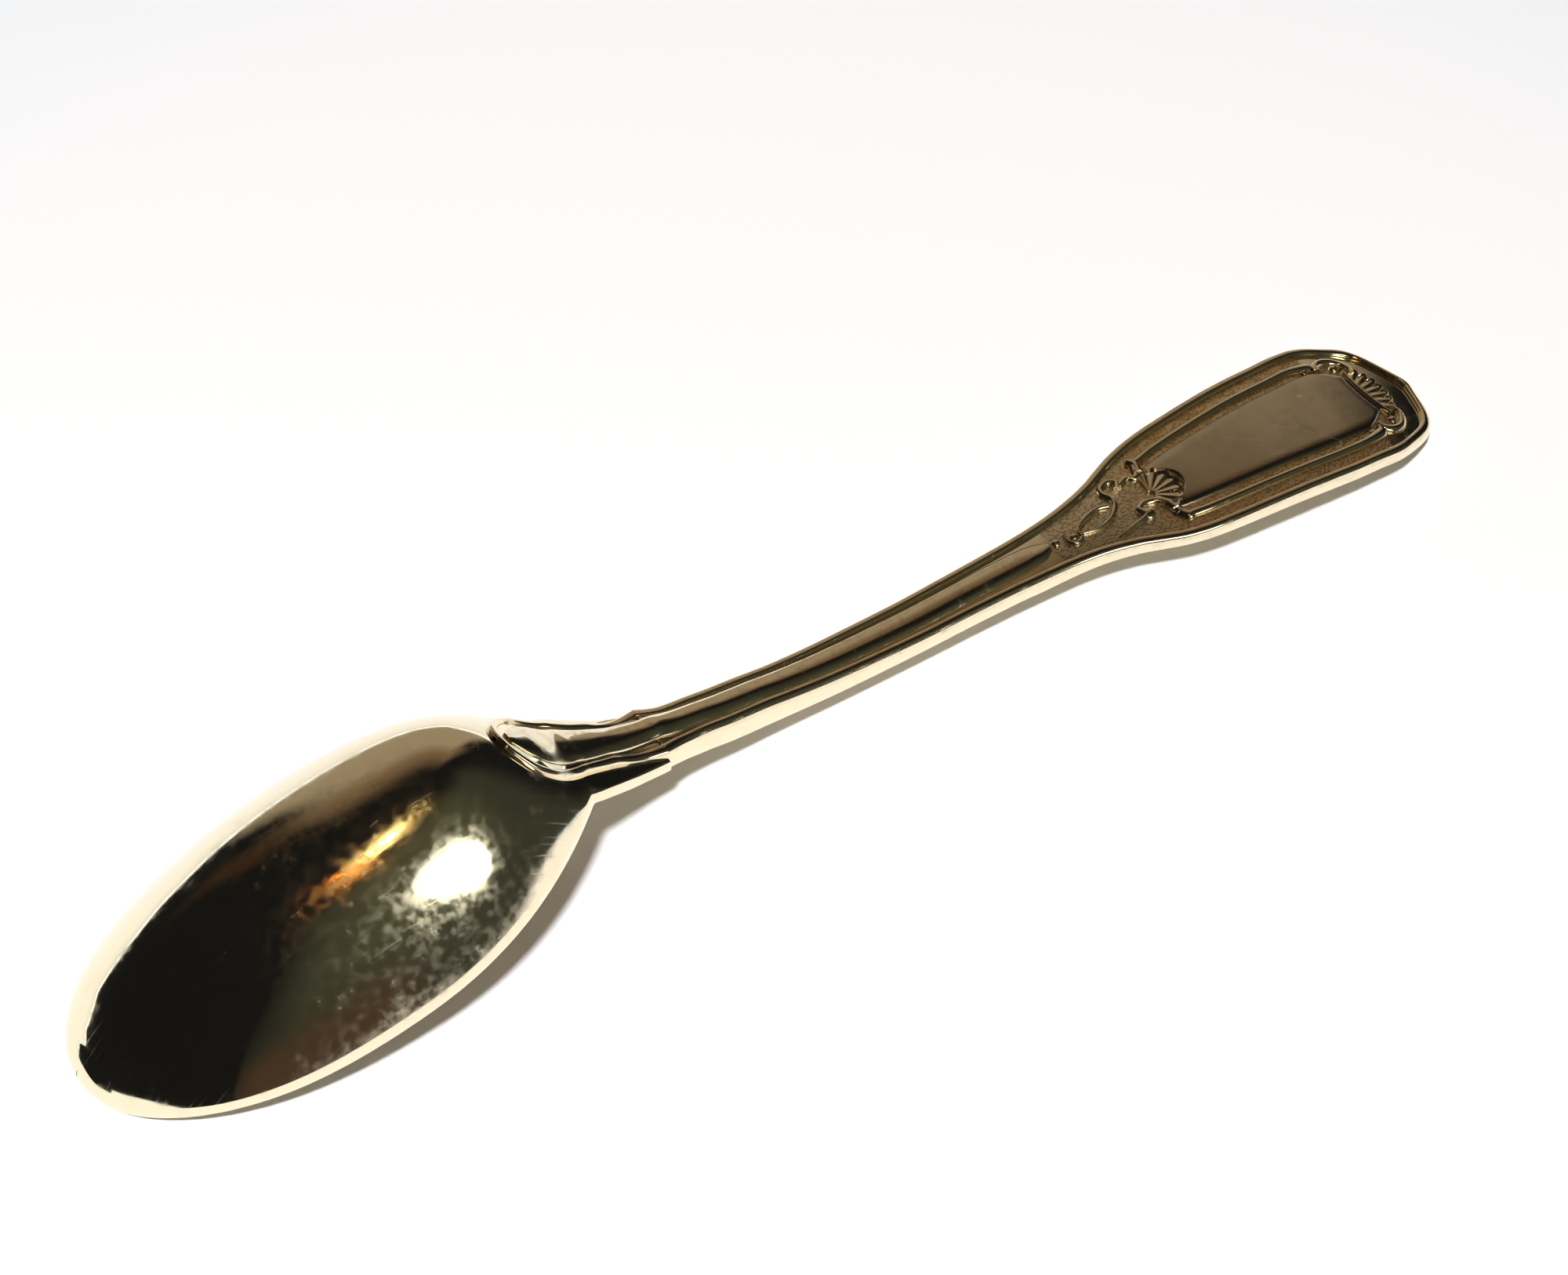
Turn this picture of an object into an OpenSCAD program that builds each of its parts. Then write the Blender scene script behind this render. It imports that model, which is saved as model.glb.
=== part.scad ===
// Struck teaspoon lying face down, with its back up.
// X runs from the bowl's tip to the handle's end, Z is up, and Y = 0 is the plane of symmetry.
// The origin is on the table, under the middle of the spoon's length.
// Each node is one form of the struck blank: a closed solid between a lower and an upper surface.

/* [Overall] */
// Length of the spoon
spoon_l = 140; // [130:1:155]
// Height of the shoulders' lower edge above the table
shoulder_rise = 8; // [6.5:0.5:10]
// Gap under each raised form, so that it rests on the form below it and nowhere cuts it
seat_gap = 0.05; // [0.04:0.01:0.08]

/* [Bowl] */
// Length of the bowl from its tip to its shoulders
bowl_l = 46; // [42:0.5:50]
// Width of the bowl
bowl_w = 26.4; // [24:0.2:30]
// Height of the bowl's back above its rim
bowl_depth = 11.3; // [9.5:0.1:12]
// Thickness of the bowl's wall
bowl_wall = 0.95; // [0.8:0.05:1.2]
// Height of the rim's edge
rim_t = 0.8; // [0.7:0.05:1.1]
// Width of the flat that the rim rests on
rim_flat = 0.9; // [0.7:0.05:1.3]
// Width of the bowl where it meets the neck
shoulder_w = 9.9; // [9:0.1:11]

/* [Neck and heel] */
// Length of the neck from the shoulders to the step
neck_l = 8.6; // [7.5:0.1:10]
// Width of the neck at the step
neck_w = 6.4; // [6.1:0.1:7.4]
// Height of the neck's edge
neck_t = 1.25; // [1.05:0.05:1.5]
// Length of the heel drop beyond the shoulders, over the bowl's back
heel_l = 6; // [5.5:0.1:8]
// Width of the heel drop's rounded end
heel_w = 7.5; // [6.6:0.1:8.2]
// Height of the heel drop above the neck's back
heel_t = 0.6; // [0.4:0.05:0.8]

/* [Stem] */
// Width of the stem at its narrowest
stem_w = 4.6; // [4.4:0.1:4.9]
// Height of the stem's edge where it meets the blade
stem_t = 1.3; // [1.15:0.05:1.6]
// Height that the stem's back swells by between its edges
stem_crown = 0.35; // [0.2:0.05:0.5]
// Height that the stem's front swells by between its edges
stem_belly = 0.45; // [0.2:0.05:0.7]
// Width of the ridge along the stem's back
ridge_w = 2.7; // [2.4:0.1:2.9]
// Height of the ridge at the neck
ridge_h = 0.9; // [0.6:0.05:1.2]

/* [Blade] */
// Length of the handle's flared blade
blade_l = 45; // [42:0.5:50]
// Width of the blade
blade_w = 16.6; // [15.6:0.2:18.5]
// Height of the blade's edge
blade_t = 1.05; // [0.9:0.05:1.4]
// Height that the blade's back swells by between its edges
blade_crown = 0.3; // [0.2:0.05:0.5]

/* [Raised work] */
// Width of the border and of the thread along the stem
border_w = 1; // [0.8:0.05:1.1]
// Height of the border above the ground
border_h = 0.5; // [0.35:0.05:0.7]
// Width of the stippled groove inside the border
groove_w = 1.15; // [1:0.05:1.3]
// Width of the inner thread
thread_w = 0.9; // [0.7:0.05:1]
// Height of the inner thread above the ground
thread_h = 0.42; // [0.3:0.02:0.6]
// Width of the stippled groove round the panel
panel_groove_w = 0.7; // [0.6:0.05:0.9]
// Height of the panel above the ground
panel_h = 0.4; // [0.3:0.05:0.55]
// Number of ribs on each shell
shell_ribs = 7; // [5:2:9]
// Height of the shells' ribs above the ground
shell_h = 0.75; // [0.5:0.05:0.9]
// Width of the scrolls
scroll_w = 0.55; // [0.45:0.05:0.65]
// Height of the scrolls above the ground
scroll_h = 0.55; // [0.35:0.05:0.7]

/* [Hidden] */

// Places along the spoon
tip_x = -spoon_l / 2;
shoulder_x = tip_x + bowl_l;
step_x = shoulder_x + neck_l;
end_x = spoon_l / 2;
blade_x = end_x - blade_l;
stem_l = blade_x - step_x;
heel_x = shoulder_x - heel_l;
heel_run = step_x - heel_x;

// Counts of facets
bowl_rows = 32;
bowl_columns = 18;
neck_rows = 6;
stem_rows = 20;
core_columns = 8;
curve_steps = 3;
ridge_rows = 28;
panel_rows = 14;
panel_columns = 8;
rib_steps = 4;
shell_rings = 4;
scroll_steps = 12;
berry_sides = 20;
// How strongly the rows crowd towards the bowl's tip, the stem's root and the ridge's end
bowl_crowding = 1.7;
bowl_first_row = 0.35;
stem_crowding = 1.25;
ridge_crowding = 0.8;

// The bowl's outline: two power curves that meet where the bowl is widest
bowl_widest_share = 0.52;
bowl_outline_power = 2.3;
// Slope at which the bowl's back meets the rim, and its shares along the bowl
edge_slope = 2.25;
edge_slope_shares = [[0, 0.7], [0.12, 0.62], [0.3, 0.86], [0.5, 0.95], [0.7, 1], [1, 1]];
// Limits of the section, from nearly half an ellipse to nearly a parabola
cap_limits = [0.15, 0.97];
// Keeps the section from dividing by nothing
tiny = 0.000001;
// Place along the bowl and height of its back, as shares of bowl_l and bowl_depth
bowl_depth_shares = [[0, 0], [0.02, 0.095], [0.05, 0.22], [0.1, 0.39], [0.17, 0.585], [0.25, 0.75],
    [0.35, 0.9], [0.47, 0.98], [0.58, 1], [0.68, 0.985], [0.75, 0.935], [0.8, 0.85], [0.84, 0.735],
    [0.88, 0.585], [0.93, 0.37], [1, 0.1]];
// Where the hollow starts to close towards the shoulders, as a share of bowl_l
throat_share = 0.84;
// Least half-width of the hollow, as a share of the bowl's half-width there
hollow_least_share = 0.33;
// How far inside the rim's flat the hollow comes to its full depth, as a share of bowl_l
hollow_run_share = 0.07;
// Height of the rim's lower edge along the bowl, as shares of bowl_l and shoulder_rise
bowl_rise_shares = [[0, 0], [0.03, 0], [0.09, 0.075], [0.19, 0.17], [0.3, 0.265], [0.45, 0.42],
    [0.6, 0.585], [0.75, 0.765], [0.9, 0.925]];

// The same along the neck, and the neck's width and back, as shares of neck_l
neck_rise_shares = [[0, 1], [0.12, 0.97], [0.35, 0.825], [0.58, 0.715], [0.81, 0.64]];
neck_width_shares = [[0, 1], [0.12, 0.93], [0.35, 0.64], [0.65, 0.28], [1, 0]];
neck_depth_shares = [[0, 0.1], [0.47, 0.055], [1, 0.035]];

// The same along the stem: height of its lower edge, half-width and edge, as shares of stem_l
stem_rise_shares = [[0, 0.59], [0.06, 0.5], [0.12, 0.45], [0.18, 0.4], [0.3, 0.34], [0.42, 0.305],
    [0.55, 0.295], [0.68, 0.295], [0.8, 0.31], [0.92, 0.318]];
stem_width_shares = [[0, 1.26], [0.06, 1.06], [0.18, 1.02], [0.3, 1], [0.42, 1.04], [0.55, 1.09],
    [0.68, 1.13], [0.8, 1.17], [0.92, 1.23], [1, 1.3]];
stem_edge_shares = [[0, 1.6], [0.25, 1.6], [0.32, 1.45], [0.42, 1.28], [0.55, 1.12], [0.7, 1],
    [1, 1]];

// The same along the blade, as shares of blade_l
blade_rise_shares = [[0, 0.32], [0.07, 0.345], [0.14, 0.37], [0.29, 0.4], [0.42, 0.41], [0.56, 0.405],
    [0.64, 0.38], [0.7, 0.352], [0.77, 0.335], [0.84, 0.28], [0.89, 0.205], [0.94, 0.13], [1, 0]];
blade_edge_shares = [[0, 1.24], [0.13, 1.02], [0.29, 0.82], [0.42, 1], [0.7, 1.1], [0.85, 0.95],
    [1, 1.05]];
// The flare from the stem's width out to the blade's width, and the end from there to the tip
flare_shares = [[0, 0], [0.07, 0.05], [0.135, 0.14], [0.2, 0.29], [0.25, 0.46], [0.3, 0.62],
    [0.37, 0.75], [0.5, 0.865], [0.63, 0.95], [0.77, 1]];
end_shares = [[0.83, 0.985], [0.89, 0.885], [0.935, 0.765], [0.965, 0.58], [0.985, 0.33], [1, 0.08]];

// Outline of the heel drop, as shares of heel_run and of half of heel_w
heel_shares = [[0, 0.1], [0.02, 0.4], [0.06, 0.63], [0.125, 0.865], [0.2, 0.985], [0.28, 1],
    [0.405, 0.91], [0.535, 0.79], [0.7, 0.71], [0.86, 0.71], [1, 0.775]];
// Thickness of the heel drop, as shares of heel_run and heel_t
heel_thick_shares = [[0, 0.4], [0.2, 0.7], [0.45, 1], [1, 1]];

// Height of the ridge from its nose on the heel to its nose on the blade
ridge_start_share = 0.08;
ridge_over_share = 0.045;
ridge_shares = [[0, 0.35], [0.05, 0.85], [0.14, 1], [0.25, 1], [0.4, 0.75], [0.6, 0.6], [0.95, 0.6],
    [1, 0.35]];
ridge_width_shares = [[0, 0.5], [0.02, 1.3], [0.05, 1.75], [0.1, 1.55], [0.16, 1.2], [0.25, 1],
    [0.93, 1], [0.98, 0.8], [1, 0.4]];

// Cross-sections from one side to the other, as shares of the width and of the height
bead_shares = [[0, 0.35], [0.25, 0.88], [0.5, 1], [0.75, 0.88], [1, 0.35]];
ridge_section_shares = [[0, 0.15], [0.2, 0.72], [0.5, 1], [0.8, 0.72], [1, 0.15]];

// Where the panel starts and ends, as shares of blade_l
panel_start_share = 0.32;
panel_end_share = 0.88;
// How far the panel's end bows towards the stem, as a share of blade_l
lip_bow_share = 0.016;
// Width of the lip, and of the thread at the heel's nose, as shares of border_w
lip_share = 0.55;
heel_thread_share = 0.7;
// How far the panel's edge is rounded down, as a share of panel_h
panel_edge_share = 0.5;
// How far short of the lip the inner threads stop, as a share of blade_l
thread_stop_share = 0.06;

// Shells: the hub's place as a share of blade_l, the radius as a share of half of blade_w for the lower
// shell and of blade_l for the end shell, and the angle that the ribs spread over on each side
lower_shell_share = 0.3;
lower_shell_radius_share = 0.35;
lower_shell_spread = 82;
end_shell_share = 0.81;
end_shell_radius_share = 0.118;
end_shell_spread = 36;
hub_share = 0.22;
rib_depth_share = 0.3;
scallop_share = 0.08;
// Part of a half wave that a shell's height follows from its hub to its edge
dome_shares = [0.34, 0.9];

// Scrolls: places as shares of blade_l and of half of blade_w
lower_scroll_shares = [[0.115, 0.1], [0.15, 0.16], [0.19, 0.25], [0.225, 0.37], [0.255, 0.47]];
lower_volute_share = [0.272, 0.4];
end_volute_share = [0.868, 0.545];
// Volutes: outer and inner radius as shares of half of blade_w, turns, and angles they start from
volute_shares = [0.155, 0.083];
volute_turns = 0.72;
lower_volute_start = 130;
end_volute_start = 60;
// Berries: place and radius
berry_shares = [[0.065, 0, 0.07], [0.1, 0, 0.09], [0.272, 0.4, 0.045], [0.272, -0.4, 0.045],
    [0.868, 0.545, 0.045], [0.868, -0.545, 0.045]];

function mix(a, b, t) = a + (b - a) * t;
function ramp(t) = let (c = min(1, max(0, t))) c * c * (3 - 2 * c);

// Smooth curve through a table of [place, value] rows
function gap_of(table, x, i = 0) =
    (i >= len(table) - 2 || x < table[i + 1][0]) ? i : gap_of(table, x, i + 1);
function slope_at(table, i) =
    let (a = max(0, i - 1), b = min(len(table) - 1, i + 1))
    (table[b][1] - table[a][1]) / (table[b][0] - table[a][0]);
function smooth_at(table, x) =
    let (i = gap_of(table, x), a = table[i], b = table[i + 1], run = b[0] - a[0],
        t = min(1, max(0, (x - a[0]) / run)), t2 = t * t, t3 = t2 * t)
    a[1] * (2 * t3 - 3 * t2 + 1) + slope_at(table, i) * run * (t3 - 2 * t2 + t)
    + b[1] * (3 * t2 - 2 * t3) + slope_at(table, i + 1) * run * (t3 - t2);

// Smooth curve through a list of points, with curve_steps pieces between neighbours
function spline_point(p, i, t) =
    let (a = p[max(0, i - 1)], b = p[i], c = p[i + 1], d = p[min(len(p) - 1, i + 2)])
    0.5 * (2 * b + (c - a) * t + (2 * a - 5 * b + 4 * c - d) * t * t
    + (3 * b - a - 3 * c + d) * t * t * t);
function spline(p) = concat(
    [for (i = [0 : len(p) - 2]) for (k = [0 : curve_steps - 1]) spline_point(p, i, k / curve_steps)],
    [p[len(p) - 1]]);

// A table of shares placed along the spoon: x from start over run, value times size
function placed(shares, start, run, size) = [for (s = shares) [start + s[0] * run, s[1] * size]];

// Half-width of the bowl at a place s along it, from 0 at the tip to 1 at the shoulders
function bowl_half(s) =
    bowl_w / 2 * (s < bowl_widest_share
        ? sqrt(1 - pow(1 - s / bowl_widest_share, bowl_outline_power))
        : 1 - (1 - shoulder_w / bowl_w)
            * pow((s - bowl_widest_share) / (1 - bowl_widest_share), bowl_outline_power));

// Rows of the bowl crowd towards its tip, where the outline turns fastest
function bowl_share(i) =
    pow((i + bowl_first_row) / (bowl_rows + bowl_first_row), bowl_crowding);
stem_half = stem_w / 2;
blade_half = blade_w / 2;
stem_end_half = stem_half * stem_width_shares[len(stem_width_shares) - 1][1];
bowl_outline = [for (i = [0 : bowl_rows])
    [i == 0 ? tip_x : tip_x + bowl_share(i) * bowl_l, bowl_half(bowl_share(i))]];
neck_table = [for (s = neck_width_shares)
    [step_x - (1 - s[0]) * neck_l, mix(neck_w, shoulder_w, s[1]) / 2]];
neck_outline = [for (i = [0 : neck_rows])
    let (x = mix(shoulder_x, step_x, i / neck_rows)) [x, smooth_at(neck_table, x)]];
stem_table = placed(stem_width_shares, step_x, stem_l, stem_half);
stem_outline = [for (i = [0 : stem_rows])
    let (x = mix(step_x, blade_x, pow(i / stem_rows, stem_crowding))) [x, smooth_at(stem_table, x)]];
blade_outline = spline(concat(
    [for (s = flare_shares) [blade_x + s[0] * blade_l, mix(stem_end_half, blade_half, s[1])]],
    [for (s = end_shares) [blade_x + s[0] * blade_l, s[1] * blade_half]]));
outline = concat(bowl_outline, [for (i = [1 : neck_rows]) neck_outline[i]],
    [[step_x + seat_gap, stem_outline[0][1]]], [for (i = [1 : stem_rows]) stem_outline[i]],
    [for (i = [1 : len(blade_outline) - 1]) blade_outline[i]]);

function half_at(x) = lookup(x, outline);

// Height of the lower edge, height of the edge itself, and swell of the back, at any place
rise_table = concat(
    placed(bowl_rise_shares, tip_x, bowl_l, shoulder_rise),
    placed(neck_rise_shares, shoulder_x, neck_l, shoulder_rise),
    placed(stem_rise_shares, step_x, stem_l, shoulder_rise),
    placed(blade_rise_shares, blade_x, blade_l, shoulder_rise));
bowl_swell_table = placed(bowl_depth_shares, tip_x, bowl_l, bowl_depth);
edge_slope_table = placed(edge_slope_shares, tip_x, bowl_l, edge_slope);
neck_swell_table = placed(neck_depth_shares, shoulder_x, neck_l, bowl_depth);
stem_edge_table = placed(stem_edge_shares, step_x, stem_l, stem_t);
blade_edge_table = concat([[blade_x, stem_t]],
    [for (i = [1 : len(blade_edge_shares) - 1])
        [blade_x + blade_edge_shares[i][0] * blade_l, blade_edge_shares[i][1] * blade_t]]);

// The lower edge rests on the table and never goes below it
function rise_at(x) = max(0, smooth_at(rise_table, x));
function edge_at(x, on_stem) =
    x < shoulder_x ? mix(rim_t, neck_t, ramp((x - tip_x) / bowl_l))
    : on_stem ? (x < blade_x ? smooth_at(stem_edge_table, x) : smooth_at(blade_edge_table, x))
    : neck_t;
function swell_at(x, on_stem) =
    x < shoulder_x ? smooth_at(bowl_swell_table, x)
    : on_stem ? mix(stem_crown, blade_crown, ramp((x - blade_x) / blade_l))
    : smooth_at(neck_swell_table, x);

// Section of the back from 1 on the middle line to 0 at the edge, where v is 1.
// In the bowl and neck it is the cap of an ellipse. Its slope at the edge, the swell times (1 + k) / k
// over the half-width, is set, which gives k. On the stem and blade it is a parabola.
function cap_ratio(x, half) =
    let (swell = swell_at(x, false), steep = half * smooth_at(edge_slope_table, x))
    min(cap_limits[1], max(cap_limits[0], swell / max(steep - swell, tiny)));
function arch(v, k) = (sqrt(1 - (1 - k * k) * v * v) - k) / (1 - k);

// Height of the back at (x, y): the ground that the raised forms stand on
function back_at(x, y, on_stem, half) =
    let (v = min(1, abs(y) / half), section = on_stem ? 1 - v * v : arch(v, cap_ratio(x, half)))
    rise_at(x) + edge_at(x, on_stem) + swell_at(x, on_stem) * section;
function ground_at(x, y) = back_at(x, y, true, half_at(max(x, step_x + seat_gap)));

// Height of the front at (x, y): hollow in the bowl, flat in the neck, rounded in the stem
function hollow_at(x) =
    max(0, swell_at(x, false) + edge_at(x, false) - bowl_wall)
    * ramp((x - tip_x - rim_flat) / (hollow_run_share * bowl_l))
    * (1 - ramp((x - tip_x - throat_share * bowl_l) / ((1 - throat_share) * bowl_l)));
function belly_at(x) = stem_belly * sin(180 * min(1, max(0, (x - step_x) / stem_l)));
function inner_half(half) = max(half * hollow_least_share, half - rim_flat);

// A closed solid between two surfaces.
// Each row crosses the form from -Y to +Y, and each point is [x, y, low, high].
module slab(rows) {
    n = len(rows);
    m = len(rows[0]);
    high = function (i, j) i * m + j;
    low = function (i, j) n * m + i * m + j;
    points = concat(
        [for (row = rows) for (p = row) [p[0], p[1], p[3]]],
        [for (row = rows) for (p = row) [p[0], p[1], p[2]]]);
    cells = [for (i = [0 : n - 2]) for (j = [0 : m - 2]) [i, j]];
    top_faces = [for (c = cells) for (f = [
        [high(c[0], c[1]), high(c[0], c[1] + 1), high(c[0] + 1, c[1] + 1)],
        [high(c[0], c[1]), high(c[0] + 1, c[1] + 1), high(c[0] + 1, c[1])]]) f];
    bottom_faces = [for (c = cells) for (f = [
        [low(c[0], c[1]), low(c[0] + 1, c[1] + 1), low(c[0], c[1] + 1)],
        [low(c[0], c[1]), low(c[0] + 1, c[1]), low(c[0] + 1, c[1] + 1)]]) f];
    ring = concat([for (i = [0 : n - 2]) [i, 0]], [for (j = [0 : m - 2]) [n - 1, j]],
        [for (i = [n - 1 : -1 : 1]) [i, m - 1]], [for (j = [m - 1 : -1 : 1]) [0, j]]);
    wall_faces = [for (k = [0 : len(ring) - 1])
        let (a = ring[k], b = ring[(k + 1) % len(ring)])
        for (f = [[low(a[0], a[1]), high(a[0], a[1]), high(b[0], b[1])],
            [low(a[0], a[1]), high(b[0], b[1]), low(b[0], b[1])]]) f];
    polyhedron(points, concat(top_faces, bottom_faces, wall_faces));
}

// Columns across a form, as shares of its half-width, crowded towards the edges
function column(j, count) = -cos(180 * j / count);

// Rows of a form that is part of the blank: bowl and neck with on_stem false, stem and blade true
function blank_rows(line, count, on_stem) = [for (p = line)
    [for (j = [0 : count])
        let (x = p[0], half = p[1], y = half * column(j, count), inner = inner_half(half),
            v = min(1, abs(y) / inner),
            low = on_stem ? rise_at(x) - belly_at(x) * (1 - v * v)
                : rise_at(x) + hollow_at(x) * arch(v, cap_ratio(x, half)))
        [x, y, low, back_at(x, y, on_stem, half)]]];

// A raised strip that follows a path on the ground.
// It reaches from the path to the given width on the path's right-hand side.
function path_normal(path, i) =
    let (a = path[max(0, i - 1)], b = path[min(len(path) - 1, i + 1)], d = b - a)
    [d[1], -d[0]] / norm(d);
function strip_rows(path, width, height, section, offset = 0) = [for (i = [0 : len(path) - 1])
    [for (s = section)
        let (p = path[i] + path_normal(path, i) * (offset + width * (1 - s[0])),
            z = ground_at(p[0], p[1]) + seat_gap)
        [p[0], p[1], z, z + height * s[1]]]];

function mirrored(rows) = [for (row = rows)
    [for (j = [len(row) - 1 : -1 : 0]) [row[j][0], -row[j][1], row[j][2], row[j][3]]]];

// Heel drop: a tongue that follows the back of the bowl and the neck
heel_outline = spline([for (s = heel_shares) [heel_x + s[0] * heel_run, s[1] * heel_w / 2]]);
heel_thick_table = placed(heel_thick_shares, heel_x, heel_run, heel_t);
function heel_base(x, y) = back_at(x, y, false, half_at(min(x, step_x))) + seat_gap;
function heel_top(x, y) = heel_base(x, y) + smooth_at(heel_thick_table, x);
// Ground of the ridge, which crosses from the heel drop to the stem
function spine_at(x, y) =
    x < step_x - seat_gap ? heel_top(x, y)
    : x > step_x + seat_gap ? ground_at(x, y)
    : max(heel_top(min(x, step_x), y), ground_at(x, y));

module bowl() {
    color("goldenrod") slab(blank_rows(bowl_outline, bowl_columns, false));
}

module neck() {
    color("goldenrod") slab(blank_rows(neck_outline, bowl_columns, false));
}

module heel_drop() {
    rows = [for (p = heel_outline)
        [for (j = [0 : core_columns])
            let (y = p[1] * column(j, core_columns))
            [p[0], y, heel_base(p[0], y), heel_top(p[0], y)]]];
    color("darkgoldenrod") slab(rows);
}

module heel_thread() {
    far_side = [for (i = [len(heel_outline) - 1 : -1 : 0]) heel_outline[i]];
    near_side = [for (p = heel_outline) [p[0], -p[1]]];
    path = concat(far_side, near_side);
    rows = [for (i = [0 : len(path) - 1])
        [for (s = bead_shares)
            let (share = mix(heel_thread_share, 1, ramp((path[i][0] - heel_x) / heel_run)),
                p = path[i] - path_normal(path, i) * border_w * share * s[0],
                q = [min(p[0], step_x), p[1]], z = heel_top(q[0], q[1]) + seat_gap)
            [q[0], q[1], z, z + border_h * s[1]]]];
    color("gold") slab(rows);
}

module stem() {
    color("goldenrod") slab(blank_rows(stem_outline, core_columns, true));
}

module stem_ridge() {
    start = heel_x + ridge_start_share * heel_run;
    finish = blade_x + ridge_over_share * blade_l;
    height_table = placed(ridge_shares, start, finish - start, ridge_h);
    width_table = placed(ridge_width_shares, start, finish - start, ridge_w);
    early = [for (i = [0 : ridge_rows / 2 - 1]) mix(start, step_x, i / (ridge_rows / 2))];
    late = [for (i = [1 : ridge_rows / 2]) mix(step_x, finish, pow(i / (ridge_rows / 2), ridge_crowding))];
    rows = [for (x = concat(early, [step_x], late))
        [for (s = ridge_section_shares)
            let (y = (s[0] - 0.5) * smooth_at(width_table, x), z = spine_at(x, y) + seat_gap)
            [x, y, z, z + smooth_at(height_table, x) * s[1]]]];
    color("gold") slab(rows);
}

function stem_thread_rows() = strip_rows(
    [for (i = [0 : stem_rows]) [max(stem_outline[i][0], step_x + seat_gap), stem_outline[i][1]]],
    border_w, border_h, bead_shares);

module stem_thread_left() {
    color("gold") slab(square_ends(stem_thread_rows(), step_x, blade_x));
}

module stem_thread_right() {
    color("gold") slab(mirrored(square_ends(stem_thread_rows(), step_x, blade_x)));
}

// Rows whose first and last are moved into the planes where the form meets its neighbours
function square_ends(rows, first_x, last_x) = [for (i = [0 : len(rows) - 1])
    i == 0 ? [for (p = rows[0]) [first_x, p[1], p[2], p[3]]]
    : i == len(rows) - 1 ? [for (p = rows[i]) [last_x, p[1], p[2], p[3]]]
    : rows[i]];

module blade() {
    color("goldenrod") slab(blank_rows(blade_outline, core_columns, true));
}

function border_rows() =
    let (n = len(blade_outline), rows = strip_rows(blade_outline, border_w, border_h, bead_shares),
        first = [for (p = rows[0]) [blade_x, p[1], p[2], p[3]]],
        last = [for (s = bead_shares)
            let (x = end_x - border_w * (1 - s[0]), z = ground_at(x, 0) + seat_gap)
            [x, 0, z, z + border_h * s[1]]])
    concat([first], [for (i = [1 : n - 2]) rows[i]], [last]);

module border_left() {
    color("gold") slab(border_rows());
}

module border_right() {
    color("gold") slab(mirrored(border_rows()));
}

panel_x = blade_x + panel_start_share * blade_l;
lip_x = blade_x + panel_end_share * blade_l;
thread_end_x = lip_x - thread_stop_share * blade_l;
thread_line = [for (p = blade_outline) if (p[0] >= panel_x && p[0] <= thread_end_x) p];

module inner_thread_left() {
    color("gold") slab(strip_rows(thread_line, thread_w, thread_h, bead_shares, border_w + groove_w));
}

module inner_thread_right() {
    color("gold") slab(mirrored(
        strip_rows(thread_line, thread_w, thread_h, bead_shares, border_w + groove_w)));
}

// Ends of the panel at a place across it: a notch for the lower shell, and a bow at the lip
lower_shell_x = blade_x + lower_shell_share * blade_l;
lower_shell_r = lower_shell_radius_share * blade_half;
end_shell_x = blade_x + end_shell_share * blade_l;
end_shell_r = end_shell_radius_share * blade_l;
panel_inset = border_w + groove_w + thread_w + panel_groove_w;
notch_gap = 3 * seat_gap;
notch_r = lower_shell_r + notch_gap;
function panel_start(y) =
    abs(y) >= notch_r ? panel_x
    : max(panel_x, lower_shell_x + sqrt(notch_r * notch_r - y * y));
function panel_end(y) =
    lip_x - lip_bow_share * blade_l * (1 - pow(min(1, abs(y) / (blade_half - panel_inset)), 2));

module panel() {
    rows = [for (i = [0 : panel_rows])
        [for (j = [0 : panel_columns])
            let (u = column(j, panel_columns), t = i / panel_rows,
                y0 = u * (blade_half - panel_inset), x = mix(panel_start(y0), panel_end(y0), t),
                y = u * (half_at(x) - panel_inset), z = ground_at(x, y) + seat_gap,
                edge = i == 0 || i == panel_rows || j == 0 || j == panel_columns)
            [x, y, z, z + panel_h * (edge ? 1 - panel_edge_share : 1)]]];
    color("goldenrod") slab(rows);
}

module panel_lip() {
    reach = blade_half - panel_inset;
    path = [for (j = [0 : panel_columns])
        let (y = -reach * column(j, panel_columns)) [panel_end(y) + seat_gap, y]];
    rows = [for (p = path)
        [for (s = bead_shares)
            let (x = p[0] + lip_share * border_w * s[0], z = ground_at(x, p[1]) + seat_gap)
            [x, p[1], z, z + border_h * s[1]]]];
    color("gold") slab(rows);
}

// A ribbed shell: rings from an inner radius, which is a function of the angle, out to a scalloped edge
function shell_rows(x0, inner, outer, spread) =
    [for (i = [0 : shell_ribs * rib_steps])
        let (t = i / (shell_ribs * rib_steps), a = mix(spread, -spread, t),
            rib = (1 - cos(360 * shell_ribs * t)) / 2)
        [for (k = [0 : shell_rings])
            let (s = k / shell_rings, r = mix(inner(a), outer * (1 - scallop_share * (1 - rib)), s),
                x = x0 + r * cos(a), y = r * sin(a), z = ground_at(x, y) + seat_gap,
                dome = sin(180 * mix(dome_shares[0], dome_shares[1], s)))
            [x, y, z, z + shell_h * dome * (1 - rib_depth_share * (1 - rib))]]];

// Distance from the end shell's hub, at an angle, to just beyond the lip
function past_lip(a) =
    let (y = (lip_x - end_shell_x) * tan(a))
    (panel_end(y) + lip_share * border_w + notch_gap - end_shell_x) / cos(a);

module lower_shell() {
    color("gold") slab(shell_rows(
        lower_shell_x, function (a) lower_shell_r * hub_share, lower_shell_r, lower_shell_spread));
}

module end_shell() {
    color("gold") slab(shell_rows(
        end_shell_x, function (a) past_lip(a), end_shell_r, end_shell_spread));
}

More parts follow.
